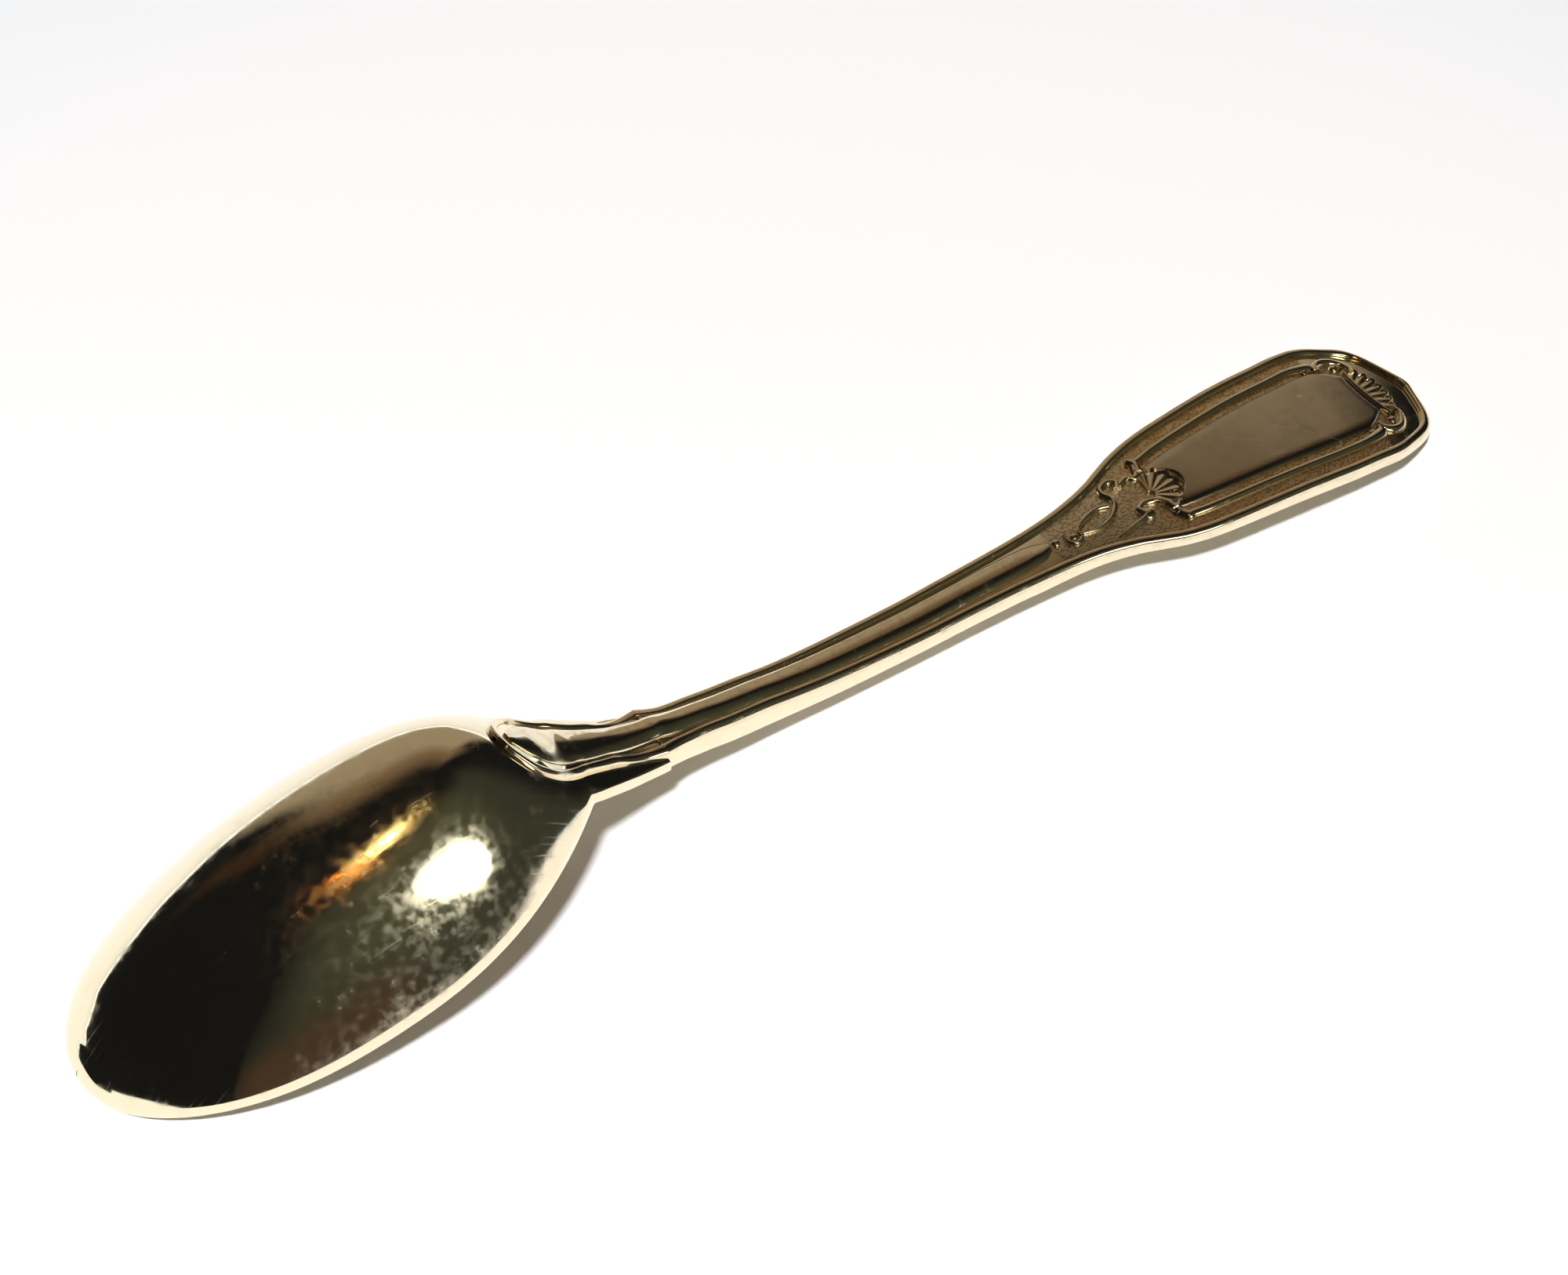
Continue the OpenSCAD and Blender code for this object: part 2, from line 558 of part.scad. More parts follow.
// A volute that winds in round a centre, from a start angle, on the far side of the axis
function volute(centre, start) = [for (i = [0 : scroll_steps])
    let (t = i / scroll_steps, r = blade_half * mix(volute_shares[0], volute_shares[1], t),
        a = start - 360 * volute_turns * t)
    centre + r * [cos(a), sin(a)]];
function on_blade(share) = [blade_x + share[0] * blade_l, share[1] * blade_half];

function lower_scroll_rows() =
    let (stalk = spline([for (s = lower_scroll_shares) on_blade(s)]),
        curl = volute(on_blade(lower_volute_share), lower_volute_start))
    strip_rows(concat([for (i = [0 : len(stalk) - 2]) stalk[i]], curl), scroll_w, scroll_h,
        bead_shares);

function end_scroll_rows() =
    strip_rows(volute(on_blade(end_volute_share), end_volute_start), scroll_w, scroll_h, bead_shares);

module lower_scroll_left() {
    color("gold") slab(lower_scroll_rows());
}

module lower_scroll_right() {
    color("gold") slab(mirrored(lower_scroll_rows()));
}

module end_scroll_left() {
    color("gold") slab(end_scroll_rows());
}

module end_scroll_right() {
    color("gold") slab(mirrored(end_scroll_rows()));
}

module berries() {
    color("gold") for (s = berry_shares) {
        place = on_blade(s);
        r = s[2] * blade_half;
        translate([place[0], place[1], ground_at(place[0], place[1]) + seat_gap])
            rotate_extrude($fn = berry_sides)
                intersection() {
                    circle(r, $fn = berry_sides);
                    square(r);
                }
    }
}

bowl();
neck();
heel_drop();
heel_thread();
stem();
stem_ridge();
stem_thread_left();
stem_thread_right();
blade();
border_left();
border_right();
inner_thread_left();
inner_thread_right();
panel();
panel_lip();
end_shell();
end_scroll_left();
end_scroll_right();
lower_shell();
lower_scroll_left();
lower_scroll_right();
berries();
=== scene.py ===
"""A struck and gilt teaspoon that lies face down, with its back up, on a pale table.

Every shape is worked out in millimetres, from nearly the same sizes and formulas as the part's
source, on finer grids, and goes into Blender in metres. X runs from the bowl's tip to the handle's
end, Z is up, and Y = 0 is the plane of symmetry. Left is the +Y side.
"""

import math

import bpy
import numpy as np
from mathutils import Matrix


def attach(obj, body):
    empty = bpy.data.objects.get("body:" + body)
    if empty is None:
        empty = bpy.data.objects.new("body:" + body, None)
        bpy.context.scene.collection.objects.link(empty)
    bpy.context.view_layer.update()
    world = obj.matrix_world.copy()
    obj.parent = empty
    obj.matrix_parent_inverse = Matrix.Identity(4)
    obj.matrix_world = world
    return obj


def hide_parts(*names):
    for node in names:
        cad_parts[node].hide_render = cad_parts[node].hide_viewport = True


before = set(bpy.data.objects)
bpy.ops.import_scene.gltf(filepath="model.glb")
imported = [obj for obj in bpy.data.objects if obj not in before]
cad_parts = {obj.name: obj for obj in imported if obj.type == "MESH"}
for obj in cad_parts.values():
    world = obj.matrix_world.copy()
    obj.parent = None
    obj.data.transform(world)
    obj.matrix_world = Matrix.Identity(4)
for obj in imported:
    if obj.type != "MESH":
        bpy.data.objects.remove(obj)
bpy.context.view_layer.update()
MM = 0.001
TINY = 1e-6

# Sizes of the blank, in millimetres
SPOON_L = 140
SHOULDER_RISE = 8
BOWL_L = 46
BOWL_W = 26.4
BOWL_DEPTH = 11.3
BOWL_WALL = 0.95
RIM_T = 0.8
RIM_FLAT = 0.9
SHOULDER_W = 9.9
NECK_L = 8.6
NECK_W = 6.4
NECK_T = 1.25
HEEL_L = 6
HEEL_W = 7.5
HEEL_T = 0.6
STEM_W = 4.6
STEM_T = 1.3
STEM_CROWN = 0.35
STEM_BELLY = 0.45
RIDGE_W = 2.7
RIDGE_H = 0.9
BLADE_L = 45
BLADE_W = 16.6
BLADE_T = 1.05
BLADE_CROWN = 0.3

# Sizes of the raised work
BORDER_W = 1
BORDER_H = 0.5
GROOVE_W = 1.15
THREAD_W = 0.9
THREAD_H = 0.42
PANEL_GROOVE_W = 0.7
PANEL_H = 0.4
HEEL_THREAD_W = 0.7
SHELL_H = 0.75
SCROLL_H = 0.55
# How far each raised form is sunk into the ground that it stands on
SINK = 0.1

# Places along the spoon
TIP_X = -SPOON_L / 2
SHOULDER_X = TIP_X + BOWL_L
STEP_X = SHOULDER_X + NECK_L
END_X = SPOON_L / 2
BLADE_X = END_X - BLADE_L
STEM_L = BLADE_X - STEP_X
HEEL_X = SHOULDER_X - HEEL_L
HEEL_RUN = STEP_X - HEEL_X

# Radius of the rounded edges of the blank
TOP_FILLET = 0.18
LOW_FILLET = 0.3
FILLET_STEPS = 6

# The bowl: the slope at which its back meets the rim, times a share that changes along it, and the
# limits of how round and how flat its section may be
EDGE_SLOPE = 2.25
EDGE_SLOPE_SHARES = [[0, 0.9], [0.06, 0.8], [0.14, 0.71], [0.3, 0.84], [0.5, 0.93], [0.7, 0.87],
                     [1, 0.8]]
ROUNDEST = 0.15
FLATTEST = 0.97
# Where it is widest, the power of its outline, and where its hollow opens and closes
WIDEST_SHARE = 0.52
OUTLINE_POWER = 2.3
THROAT_SHARE = 0.84
HOLLOW_LEAST_SHARE = 0.33
HOLLOW_RUN_SHARE = 0.07

# Tables of place and value, as shares of the length and of the size that each belongs to
BOWL_DEPTH_SHARES = [[0, 0], [0.004, 0.044], [0.015, 0.11], [0.045, 0.235], [0.1, 0.405],
                     [0.17, 0.585], [0.25, 0.75], [0.35, 0.9], [0.47, 0.98], [0.58, 1],
                     [0.68, 0.985], [0.75, 0.935], [0.8, 0.85], [0.84, 0.735], [0.88, 0.585],
                     [0.93, 0.37], [1, 0.1]]
BOWL_RISE_SHARES = [[0, 0], [0.03, 0], [0.09, 0.075], [0.19, 0.17], [0.3, 0.265], [0.45, 0.42],
                    [0.6, 0.585], [0.75, 0.765], [0.9, 0.925]]
NECK_RISE_SHARES = [[0, 0.985], [0.12, 0.945], [0.35, 0.825], [0.58, 0.715], [0.81, 0.64]]
NECK_WIDTH_SHARES = [[0, 1], [0.12, 0.93], [0.35, 0.64], [0.65, 0.28], [1, 0]]
NECK_DEPTH_SHARES = [[0, 0.1], [0.47, 0.055], [1, 0.035]]
STEM_RISE_SHARES = [[0, 0.59], [0.06, 0.5], [0.12, 0.45], [0.18, 0.4], [0.3, 0.34], [0.42, 0.305],
                    [0.55, 0.295], [0.68, 0.295], [0.8, 0.31], [0.92, 0.318]]
STEM_WIDTH_SHARES = [[0, 1.26], [0.06, 1.06], [0.18, 1.02], [0.3, 1], [0.42, 1.04], [0.55, 1.09],
                     [0.68, 1.13], [0.8, 1.17], [0.92, 1.23], [1, 1.3]]
STEM_EDGE_SHARES = [[0, 1.6], [0.25, 1.6], [0.32, 1.45], [0.42, 1.28], [0.55, 1.12], [0.7, 1], [1, 1]]
BLADE_RISE_SHARES = [[0, 0.32], [0.07, 0.345], [0.14, 0.37], [0.29, 0.4], [0.42, 0.41],
                     [0.56, 0.405], [0.64, 0.38], [0.7, 0.352], [0.77, 0.335], [0.84, 0.28],
                     [0.89, 0.205], [0.94, 0.13], [1, 0]]
BLADE_EDGE_SHARES = [[0.13, 1.02], [0.29, 0.82], [0.42, 1], [0.7, 1.1], [0.85, 0.95], [1, 1.05]]
FLARE_SHARES = [[0, 0], [0.07, 0.05], [0.135, 0.14], [0.2, 0.29], [0.25, 0.46], [0.3, 0.62],
                [0.37, 0.75], [0.5, 0.865], [0.63, 0.95], [0.77, 1]]
END_SHARES = [[0.83, 0.985], [0.89, 0.885], [0.935, 0.765], [0.965, 0.58], [0.985, 0.33], [1, 0.08]]
HEEL_SHARES = [[0, 0.1], [0.02, 0.4], [0.06, 0.63], [0.125, 0.865], [0.2, 0.985], [0.28, 1],
               [0.405, 0.91], [0.535, 0.79], [0.7, 0.71], [0.86, 0.71], [1, 0.775]]
HEEL_THICK_SHARES = [[0, 0.35], [0.2, 0.5], [0.45, 0.62], [0.8, 0.8], [1, 1]]
RIDGE_SHARES = [[0, 0.35], [0.05, 0.85], [0.14, 1], [0.25, 1], [0.4, 0.75], [0.6, 0.6], [0.95, 0.6],
                [1, 0.35]]
RIDGE_WIDTH_SHARES = [[0, 0.5], [0.02, 1.3], [0.05, 1.75], [0.1, 1.55], [0.16, 1.2], [0.25, 1],
                      [0.93, 1], [0.98, 0.8], [1, 0.4]]
RIDGE_START_SHARE = 0.08
RIDGE_OVER_SHARE = 0.045

# The panel, its lip and the inner threads
PANEL_START_SHARE = 0.32
LIP_SHARE = 0.88
LIP_BOW = 0.7
LIP_HALF = 3.4
LIP_W = 0.4
LIP_H = 0.5
LIP_LAP = 0.05
PANEL_ROUNDING = 1.2
CORNER_FROM = 2.9
CORNER_RUN = 1.6
CORNER_CUT = 3.6
CORNER_POWER = 1.3
PANEL_INSET = BORDER_W + GROOVE_W + THREAD_W + PANEL_GROOVE_W

# The shells: outer and inner radius and hub of the lower one, and the middle of the round notch that
# it leaves in the panel
SHELL_R = 3.3
SHELL_START_R = 0.5
SHELL_HUB = (38.5, -0.1)
NOTCH_X = 38.6
# A shell's scallops and the place and width of its edge line, as shares of its reach, and the shares
# of its height that its plain ground, its ribs and its edge line have
SCALLOP = 0.07
EDGE_LINE_AT = 0.88
EDGE_LINE_W = 0.07
SHELL_GROUND = 0.35
SHELL_RIBS = 0.3
SHELL_LINE = 0.35


def mix(a, b, t):
    """The value a share t of the way from a to b."""
    return a + (b - a) * t


def ramp(t):
    """A smooth step: 3 t squared less 2 t cubed, with t held between 0 and 1."""
    c = np.clip(t, 0, 1)
    return c * c * (3 - 2 * c)


def placed(shares, start, run, size):
    """A table of shares laid along the spoon: x is start plus share times run, value times size."""
    return [[start + s[0] * run, s[1] * size] for s in shares]


def smooth_at(table, x):
    """A Hermite curve through the rows of a table, whose slope at a row joins its two neighbours."""
    place, value = np.array(table, float).T
    rows = np.arange(len(place))
    before = np.maximum(rows - 1, 0)
    after = np.minimum(rows + 1, len(place) - 1)
    slope = (value[after] - value[before]) / (place[after] - place[before])
    i = np.clip(np.searchsorted(place, x, side="right") - 1, 0, len(place) - 2)
    run = place[i + 1] - place[i]
    t = np.clip((x - place[i]) / run, 0, 1)
    rise = 3 * t**2 - 2 * t**3
    return (value[i] * (1 - rise) + value[i + 1] * rise
            + slope[i] * run * (t**3 - 2 * t**2 + t) + slope[i + 1] * run * (t**3 - t**2))


def spline(points, steps):
    """A Catmull-Rom curve through the points, with so many steps between neighbours."""
    p = np.array(points, float)
    last = len(p) - 1
    i = np.repeat(np.arange(last), steps)
    t = np.tile(np.arange(steps) / steps, last)[:, None]
    a, b, c, d = p[np.maximum(i - 1, 0)], p[i], p[i + 1], p[np.minimum(i + 2, last)]
    curve = 0.5 * (2 * b + (c - a) * t + (2 * a - 5 * b + 4 * c - d) * t**2
                   + (3 * b - a - 3 * c + d) * t**3)
    return np.vstack([curve, p[-1:]])


def evenly(path, count):
    """The same path cut into count equal lengths."""
    run = np.concatenate([[0], np.cumsum(np.linalg.norm(np.diff(path, axis=0), axis=1))])
    at = np.linspace(0, run[-1], count + 1)
    return np.stack([np.interp(at, run, path[:, k]) for k in range(path.shape[1])], 1)


def path_normals(path):
    """At each point of a path, the unit direction to its right: (dy, -dx) of its neighbours."""
    ahead = np.vstack([path[1:], path[-1:]])
    behind = np.vstack([path[:1], path[:-1]])
    d = ahead - behind
    return np.stack([d[:, 1], -d[:, 0]], 1) / np.linalg.norm(d, axis=1)[:, None]


STEM_HALF = STEM_W / 2
BLADE_HALF = BLADE_W / 2
STEM_END_HALF = STEM_HALF * STEM_WIDTH_SHARES[-1][1]
NECK_TABLE = [[STEP_X - (1 - s[0]) * NECK_L, mix(NECK_W, SHOULDER_W, s[1]) / 2]
              for s in NECK_WIDTH_SHARES]
STEM_TABLE = placed(STEM_WIDTH_SHARES, STEP_X, STEM_L, STEM_HALF)
BLADE_LINE = spline([[BLADE_X + s[0] * BLADE_L, mix(STEM_END_HALF, BLADE_HALF, s[1])]
                     for s in FLARE_SHARES]
                    + [[BLADE_X + s[0] * BLADE_L, s[1] * BLADE_HALF] for s in END_SHARES], 24)


def bowl_half(s):
    """Half-width of the bowl at share s of its length: two power curves that meet at its widest."""
    early = np.sqrt(1 - np.clip(1 - s / WIDEST_SHARE, 0, 1) ** OUTLINE_POWER)
    run = np.clip((s - WIDEST_SHARE) / (1 - WIDEST_SHARE), 0, 1)
    late = 1 - (1 - SHOULDER_W / BOWL_W) * run**OUTLINE_POWER
    return BOWL_W / 2 * np.where(s < WIDEST_SHARE, early, late)


def half_at(x, on_stem):
    """Half-width of the blank at x: bowl and neck, or stem and blade."""
    if on_stem:
        stem = smooth_at(STEM_TABLE, x)
        return np.where(x < BLADE_X, stem, np.interp(x, BLADE_LINE[:, 0], BLADE_LINE[:, 1]))
    neck = smooth_at(NECK_TABLE, x)
    return np.where(x < SHOULDER_X, bowl_half((x - TIP_X) / BOWL_L), neck)


RISE_TABLE = (placed(BOWL_RISE_SHARES, TIP_X, BOWL_L, SHOULDER_RISE)
              + placed(NECK_RISE_SHARES, SHOULDER_X, NECK_L, SHOULDER_RISE)
              + placed(STEM_RISE_SHARES, STEP_X, STEM_L, SHOULDER_RISE)
              + placed(BLADE_RISE_SHARES, BLADE_X, BLADE_L, SHOULDER_RISE))
BOWL_SWELL_TABLE = placed(BOWL_DEPTH_SHARES, TIP_X, BOWL_L, BOWL_DEPTH)
BOWL_SWELL_TABLE += placed(NECK_DEPTH_SHARES, SHOULDER_X, NECK_L, BOWL_DEPTH)[1:]
STEM_EDGE_TABLE = placed(STEM_EDGE_SHARES, STEP_X, STEM_L, STEM_T)
BLADE_EDGE_TABLE = [[BLADE_X, STEM_T]] + placed(BLADE_EDGE_SHARES, BLADE_X, BLADE_L, BLADE_T)


def rise_at(x):
    """Height of the blank's lower edge above the table."""
    return np.maximum(0, smooth_at(RISE_TABLE, x))


def edge_at(x, on_stem):
    """Height of the blank's edge."""
    if on_stem:
        return np.where(x < BLADE_X, smooth_at(STEM_EDGE_TABLE, x), smooth_at(BLADE_EDGE_TABLE, x))
    return mix(RIM_T, NECK_T, ramp((x - TIP_X) / BOWL_L))


def swell_at(x, on_stem):
    """Height that the back swells by between its edges."""
    if on_stem:
        return mix(STEM_CROWN, BLADE_CROWN, ramp((x - BLADE_X) / BLADE_L))
    return smooth_at(BOWL_SWELL_TABLE, x)


SLOPE_TABLE = placed(EDGE_SLOPE_SHARES, TIP_X, BOWL_L, 1)


def arch(x, v, half, on_stem):
    """Section of the back from 1 on the middle line to 0 at the edge, where v is 1.

    On the stem and blade it is the parabola 1 - v squared. In the bowl and neck it is the cap of an
    ellipse, (root(1 - (1 - k squared) v squared) - k) / (1 - k). Its slope at the edge, the swell
    times (1 + k) / k over the half-width, is set, which gives k."""
    if on_stem:
        return 1 - v**2
    swell = swell_at(x, False)
    steep = half * EDGE_SLOPE * smooth_at(SLOPE_TABLE, x)
    k = np.clip(swell / np.maximum(steep - swell, TINY), ROUNDEST, FLATTEST)
    return (np.sqrt(1 - (1 - k**2) * v**2) - k) / (1 - k)


def back_at(x, y, on_stem):
    """Height of the back: lower edge, plus edge, plus swell times the arch at the share of the
    half-width that y is."""
    half = np.maximum(half_at(x, on_stem), TINY)
    v = np.clip(np.abs(y) / half, 0, 1)
    return rise_at(x) + edge_at(x, on_stem) + swell_at(x, on_stem) * arch(x, v, half, on_stem)


def ground_at(x, y):
    """Height of the stem's and the blade's back, which the raised forms stand on."""
    return back_at(np.maximum(x, STEP_X), y, True)


def front_at(x, y, on_stem):
    """Height of the front: hollow in the bowl, flat in the neck, rounded under the stem."""
    half = half_at(x, on_stem)
    inner = np.maximum(np.maximum(half * HOLLOW_LEAST_SHARE, half - RIM_FLAT), TINY)
    v = np.clip(np.abs(y) / inner, 0, 1)
    if on_stem:
        belly = STEM_BELLY * np.sin(np.pi * np.clip((x - STEP_X) / STEM_L, 0, 1))
        return rise_at(x) - belly * (1 - v**2)
    hollow = (np.maximum(0, swell_at(x, False) + edge_at(x, False) - BOWL_WALL)
              * ramp((x - TIP_X - RIM_FLAT) / (HOLLOW_RUN_SHARE * BOWL_L))
              * (1 - ramp((x - TIP_X - THROAT_SHARE * BOWL_L) / ((1 - THROAT_SHARE) * BOWL_L))))
    return rise_at(x) + hollow * arch(x, v, half, False)


def columns(count):
    """Places across a form from -1 to 1, crowded towards the edges as -cos of equal angles."""
    return -np.cos(np.pi * np.arange(count + 1) / count)


def slab(top, low):
    """Points and four-sided faces of a closed solid between an upper and a lower grid.

    Each grid has n rows of m points. Its edge is joined to the other's by a wall, and the faces
    are turned round where the volume, the sum of a . (b x c) / 6, comes out negative."""
    n, m = top.shape[:2]
    points = np.concatenate([top.reshape(-1, 3), low.reshape(-1, 3)])
    index = np.arange(n * m).reshape(n, m)
    a, b, c, d = index[:-1, :-1], index[1:, :-1], index[1:, 1:], index[:-1, 1:]
    over = np.stack([a, b, c, d], -1).reshape(-1, 4)
    under = np.stack([a, d, c, b], -1).reshape(-1, 4) + n * m
    ring = np.concatenate([index[:-1, 0], index[-1, :-1], index[:0:-1, -1], index[0, :0:-1]])
    ahead = np.roll(ring, -1)
    wall = np.stack([ring, ring + n * m, ahead + n * m, ahead], -1)
    faces = np.concatenate([over, under, wall])
    q = points[faces]
    volume = (np.einsum("ij,ij->i", q[:, 0], np.cross(q[:, 1], q[:, 2]))
              + np.einsum("ij,ij->i", q[:, 0], np.cross(q[:, 2], q[:, 3]))).sum()
    return points, faces if volume > 0 else faces[:, ::-1]


SHARP_ANGLE = math.radians(50)


def piece(name, solid, material, masks=None):
    """Makes a mesh of the solid in metres, which replaces the node of its name and rides on the root."""
    points, faces = solid
    mesh = bpy.data.meshes.new(name)
    mesh.vertices.add(len(points))
    mesh.vertices.foreach_set("co", (points * MM).astype(np.float32).ravel())
    mesh.loops.add(faces.size)
    mesh.loops.foreach_set("vertex_index", np.ascontiguousarray(faces, np.int32).ravel())
    mesh.polygons.add(len(faces))
    mesh.polygons.foreach_set("loop_start", np.arange(0, faces.size, 4, dtype=np.int32))
    mesh.update(calc_edges=True)
    mesh.polygons.foreach_set("use_smooth", np.ones(len(faces), bool))
    mesh.set_sharp_from_angle(angle=SHARP_ANGLE)
    for mask, values in (masks or {}).items():
        mesh.attributes.new(mask, "FLOAT", "POINT").data.foreach_set("value", values.astype(np.float32))
    mesh.materials.append(material)
    obj = bpy.data.objects.new("shown_" + name, mesh)
    bpy.context.scene.collection.objects.link(obj)
    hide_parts(name)
    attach(obj, "root")


# The blank: bowl, neck, stem and blade
def blank(x, half, on_stem, count):
    """A stretch of the blank along its outline (x, half).

    Across each row the back runs between the two fillets. A fillet is a quarter circle: at angle a
    it lies r (1 - cos a) inside the outline, along the outline's normal, and r (1 - sin a) down."""
    line = np.stack([x, half], 1)
    normal = -path_normals(line)
    angle = np.linspace(0, np.pi / 2, FILLET_STEPS + 1)
    share = columns(count)[1:-1]

    def surface(radius, height, sign):
        inward, drop = radius * (1 - np.cos(angle)), radius * (1 - np.sin(angle))
        px = x[:, None] - normal[:, :1] * inward
        py = half[:, None] - normal[:, 1:] * inward
        py = np.maximum(py, 0)
        near = half_at(px, on_stem)
        pz = height(px, np.minimum(py, near), on_stem) - sign * drop
        mid = rise_at(x) + edge_at(x, on_stem) * 0.5
        px = np.concatenate([x[:, None], px], 1)
        py = np.concatenate([half[:, None], py], 1)
        pz = np.concatenate([mid[:, None], pz], 1)
        ix = np.repeat(px[:, -1:], len(share), 1)
        iy = py[:, -1:] * share
        iz = height(ix, iy, on_stem)
        return np.stack([np.concatenate([px, ix, px[:, ::-1]], 1),
                         np.concatenate([-py, iy, py[:, ::-1]], 1),
                         np.concatenate([pz, iz, pz[:, ::-1]], 1)], -1)

    return surface(TOP_FILLET, back_at, 1), surface(LOW_FILLET, front_at, -1)


# Rows of points along the blank, crowded towards the bowl's tip and the step. The bowl's first row
# has a little width, the neck starts a little inside the bowl, and the blade ends a little off y = 0.
BOWL_ROWS = 230
BOWL_CROWDING = 1.5
BOWL_START = 0.05
NECK_ROWS = 50
NECK_LAP = 0.15
STEM_ROWS = 220
STEM_CROWDING = 1.1
BLADE_ROWS = 370
BLADE_LAST_HALF = 0.02
bowl_share = ((np.arange(BOWL_ROWS + 1) + BOWL_START) / (BOWL_ROWS + BOWL_START)) ** BOWL_CROWDING
bowl_x = TIP_X + bowl_share * BOWL_L
bowl_x[0] = TIP_X
neck_x = np.linspace(SHOULDER_X - NECK_LAP, STEP_X, NECK_ROWS + 1)
stem_x = mix(STEP_X, BLADE_X, np.linspace(0, 1, STEM_ROWS + 1) ** STEM_CROWDING)
blade_line = evenly(np.vstack([BLADE_LINE, [[END_X, BLADE_LAST_HALF]]]), BLADE_ROWS)


def strip(path, width, height, offset=0.0, across=16, roundness=2.4, ground=ground_at, sink=SINK):
    """A raised thread along a path, from offset to offset + width on the path's right-hand side.

    Across it, at share s from -1 to 1, its height is height (1 - |s| to the roundness) to the power
    one over roundness, so 2 is a half round and more is squarer."""
    path = np.asarray(path, float)
    normal = path_normals(path)
    width = np.broadcast_to(width, len(path))
    height = np.broadcast_to(height, len(path))
    s = columns(across)
    offset = np.broadcast_to(offset, len(path))
    reach = offset[:, None] + width[:, None] * (1 - s) / 2
    x = path[:, :1] + normal[:, :1] * reach
    y = path[:, 1:] + normal[:, 1:] * reach
    base = ground(x, y)
    profile = (1 - np.abs(s) ** roundness) ** (1 / roundness)
    top = np.stack([x, y, base + height[:, None] * profile], -1)
    low = np.stack([x, y, base - sink], -1)
    return top, low


def mirrored(grids):
    """The same grids on the other side of the plane of symmetry."""
    return tuple(grid * [1, -1, 1] for grid in grids)


def bead(path, width, height, steps=10, across=14):
    """A raised thread whose middle follows a smooth curve through the points of the path.

    Width and height are tables of share along the curve and value."""
    curve = spline(path, steps)
    run = np.concatenate([[0], np.cumsum(np.linalg.norm(np.diff(curve, axis=0), axis=1))])
    share = run / run[-1]
    wide = smooth_at(width, share)
    tall = smooth_at(height, share)
    normal = path_normals(curve)
    edge = curve - normal * wide[:, None] / 2
    s = columns(across)
    x = edge[:, :1] + normal[:, :1] * wide[:, None] * (1 - s) / 2
    y = edge[:, 1:] + normal[:, 1:] * wide[:, None] * (1 - s) / 2
    base = ground_at(x, y)
    profile = np.sqrt(1 - s**2)
    return (np.stack([x, y, base + tall[:, None] * profile], -1),
            np.stack([x, y, base - SINK], -1))


# Angle of a drop's first ring, in radians
DOME_START = 0.04


def dome(x, y, radius, height, sides=28, rings=10):
    """A small drop: rings of radius r sin(a) and height h cos(a), from its top out to its foot."""
    a = np.linspace(DOME_START, np.pi / 2, rings)
    turn = np.linspace(0, 2 * np.pi, sides + 1)
    px = x + radius * np.sin(a)[:, None] * np.cos(turn)
    py = y + radius * np.sin(a)[:, None] * np.sin(turn)
    foot = float(ground_at(np.array([float(x)]), np.array([float(y)]))[0])
    top = np.stack([px, py, foot + height * np.cos(a)[:, None] * np.ones_like(turn)], -1)
    low = np.stack([px, py, np.full_like(px, foot - SINK)], -1)
    return top, low


def joined(solids):
    """Several solids as one set of points and faces."""
    points, faces, start = [], [], 0
    for p, f in solids:
        points.append(p)
        faces.append(f + start)
        start += len(p)
    return np.concatenate(points), np.concatenate(faces)


# Heel drop, its thread and the ridge: how far they are sunk, the lengths over which the ridge and the
# heel thread pass from the heel to the stem's back, and the heel thread's height there and before
HEEL_SINK = 0.4
HEEL_THREAD_SINK = 0.9
RIDGE_SINK = 0.25
RIDGE_CROSSING = 3
SEAM_RUN = 5
THREAD_LOW = 0.5
THREAD_HIGH = 0.75
HEEL_LINE = spline([[HEEL_X + s[0] * HEEL_RUN, s[1] * HEEL_W / 2] for s in HEEL_SHARES], 14)
HEEL_THICK_TABLE = placed(HEEL_THICK_SHARES, HEEL_X, HEEL_RUN, HEEL_T)


def heel_top(x, y):
    """Height of the heel drop's back: the back below it plus its thickness."""
    x = np.minimum(x, STEP_X)
    return back_at(x, y, False) + smooth_at(HEEL_THICK_TABLE, x)


def spine_at(x, y):
    """Ground of the ridge, which crosses from the heel drop to the stem."""
    return mix(heel_top(x, y), ground_at(x, y), ramp((x - STEP_X) / RIDGE_CROSSING + 0.5))


def seam_at(x, y):
    """Ground of the heel thread, which comes up to the stem's back over its last stretch."""
    return mix(heel_top(x, y), ground_at(x, y), ramp((x - STEP_X) / SEAM_RUN + 1))


def heel_drop():
    """A tongue with rounded edges that follows the back of the bowl and the neck."""
    s = columns(40)
    x = np.repeat(HEEL_LINE[:, :1], len(s), 1)
    y = HEEL_LINE[:, 1:] * s
    base = back_at(np.minimum(x, STEP_X), y, False)
    thick = smooth_at(HEEL_THICK_TABLE, x)
    rounded = (1 - np.abs(s) ** 8) ** 0.5
    return (np.stack([x, y, base + thick * rounded], -1),
            np.stack([x, y, base - HEEL_SINK], -1))


def heel_thread():
    """A thread round the tongue's outline, over its edge, as wide at the step as the border."""
    path = evenly(np.vstack([HEEL_LINE[::-1], HEEL_LINE * [1, -1]]), 260)
    width = mix(HEEL_THREAD_W, BORDER_W, ramp((path[:, 0] - HEEL_X) / HEEL_RUN))
    height = BORDER_H * mix(THREAD_HIGH, THREAD_LOW, ramp((path[:, 0] - STEP_X) / SEAM_RUN + 1))
    return strip(path, width, height, offset=-width, ground=seam_at, sink=HEEL_THREAD_SINK, roundness=2)


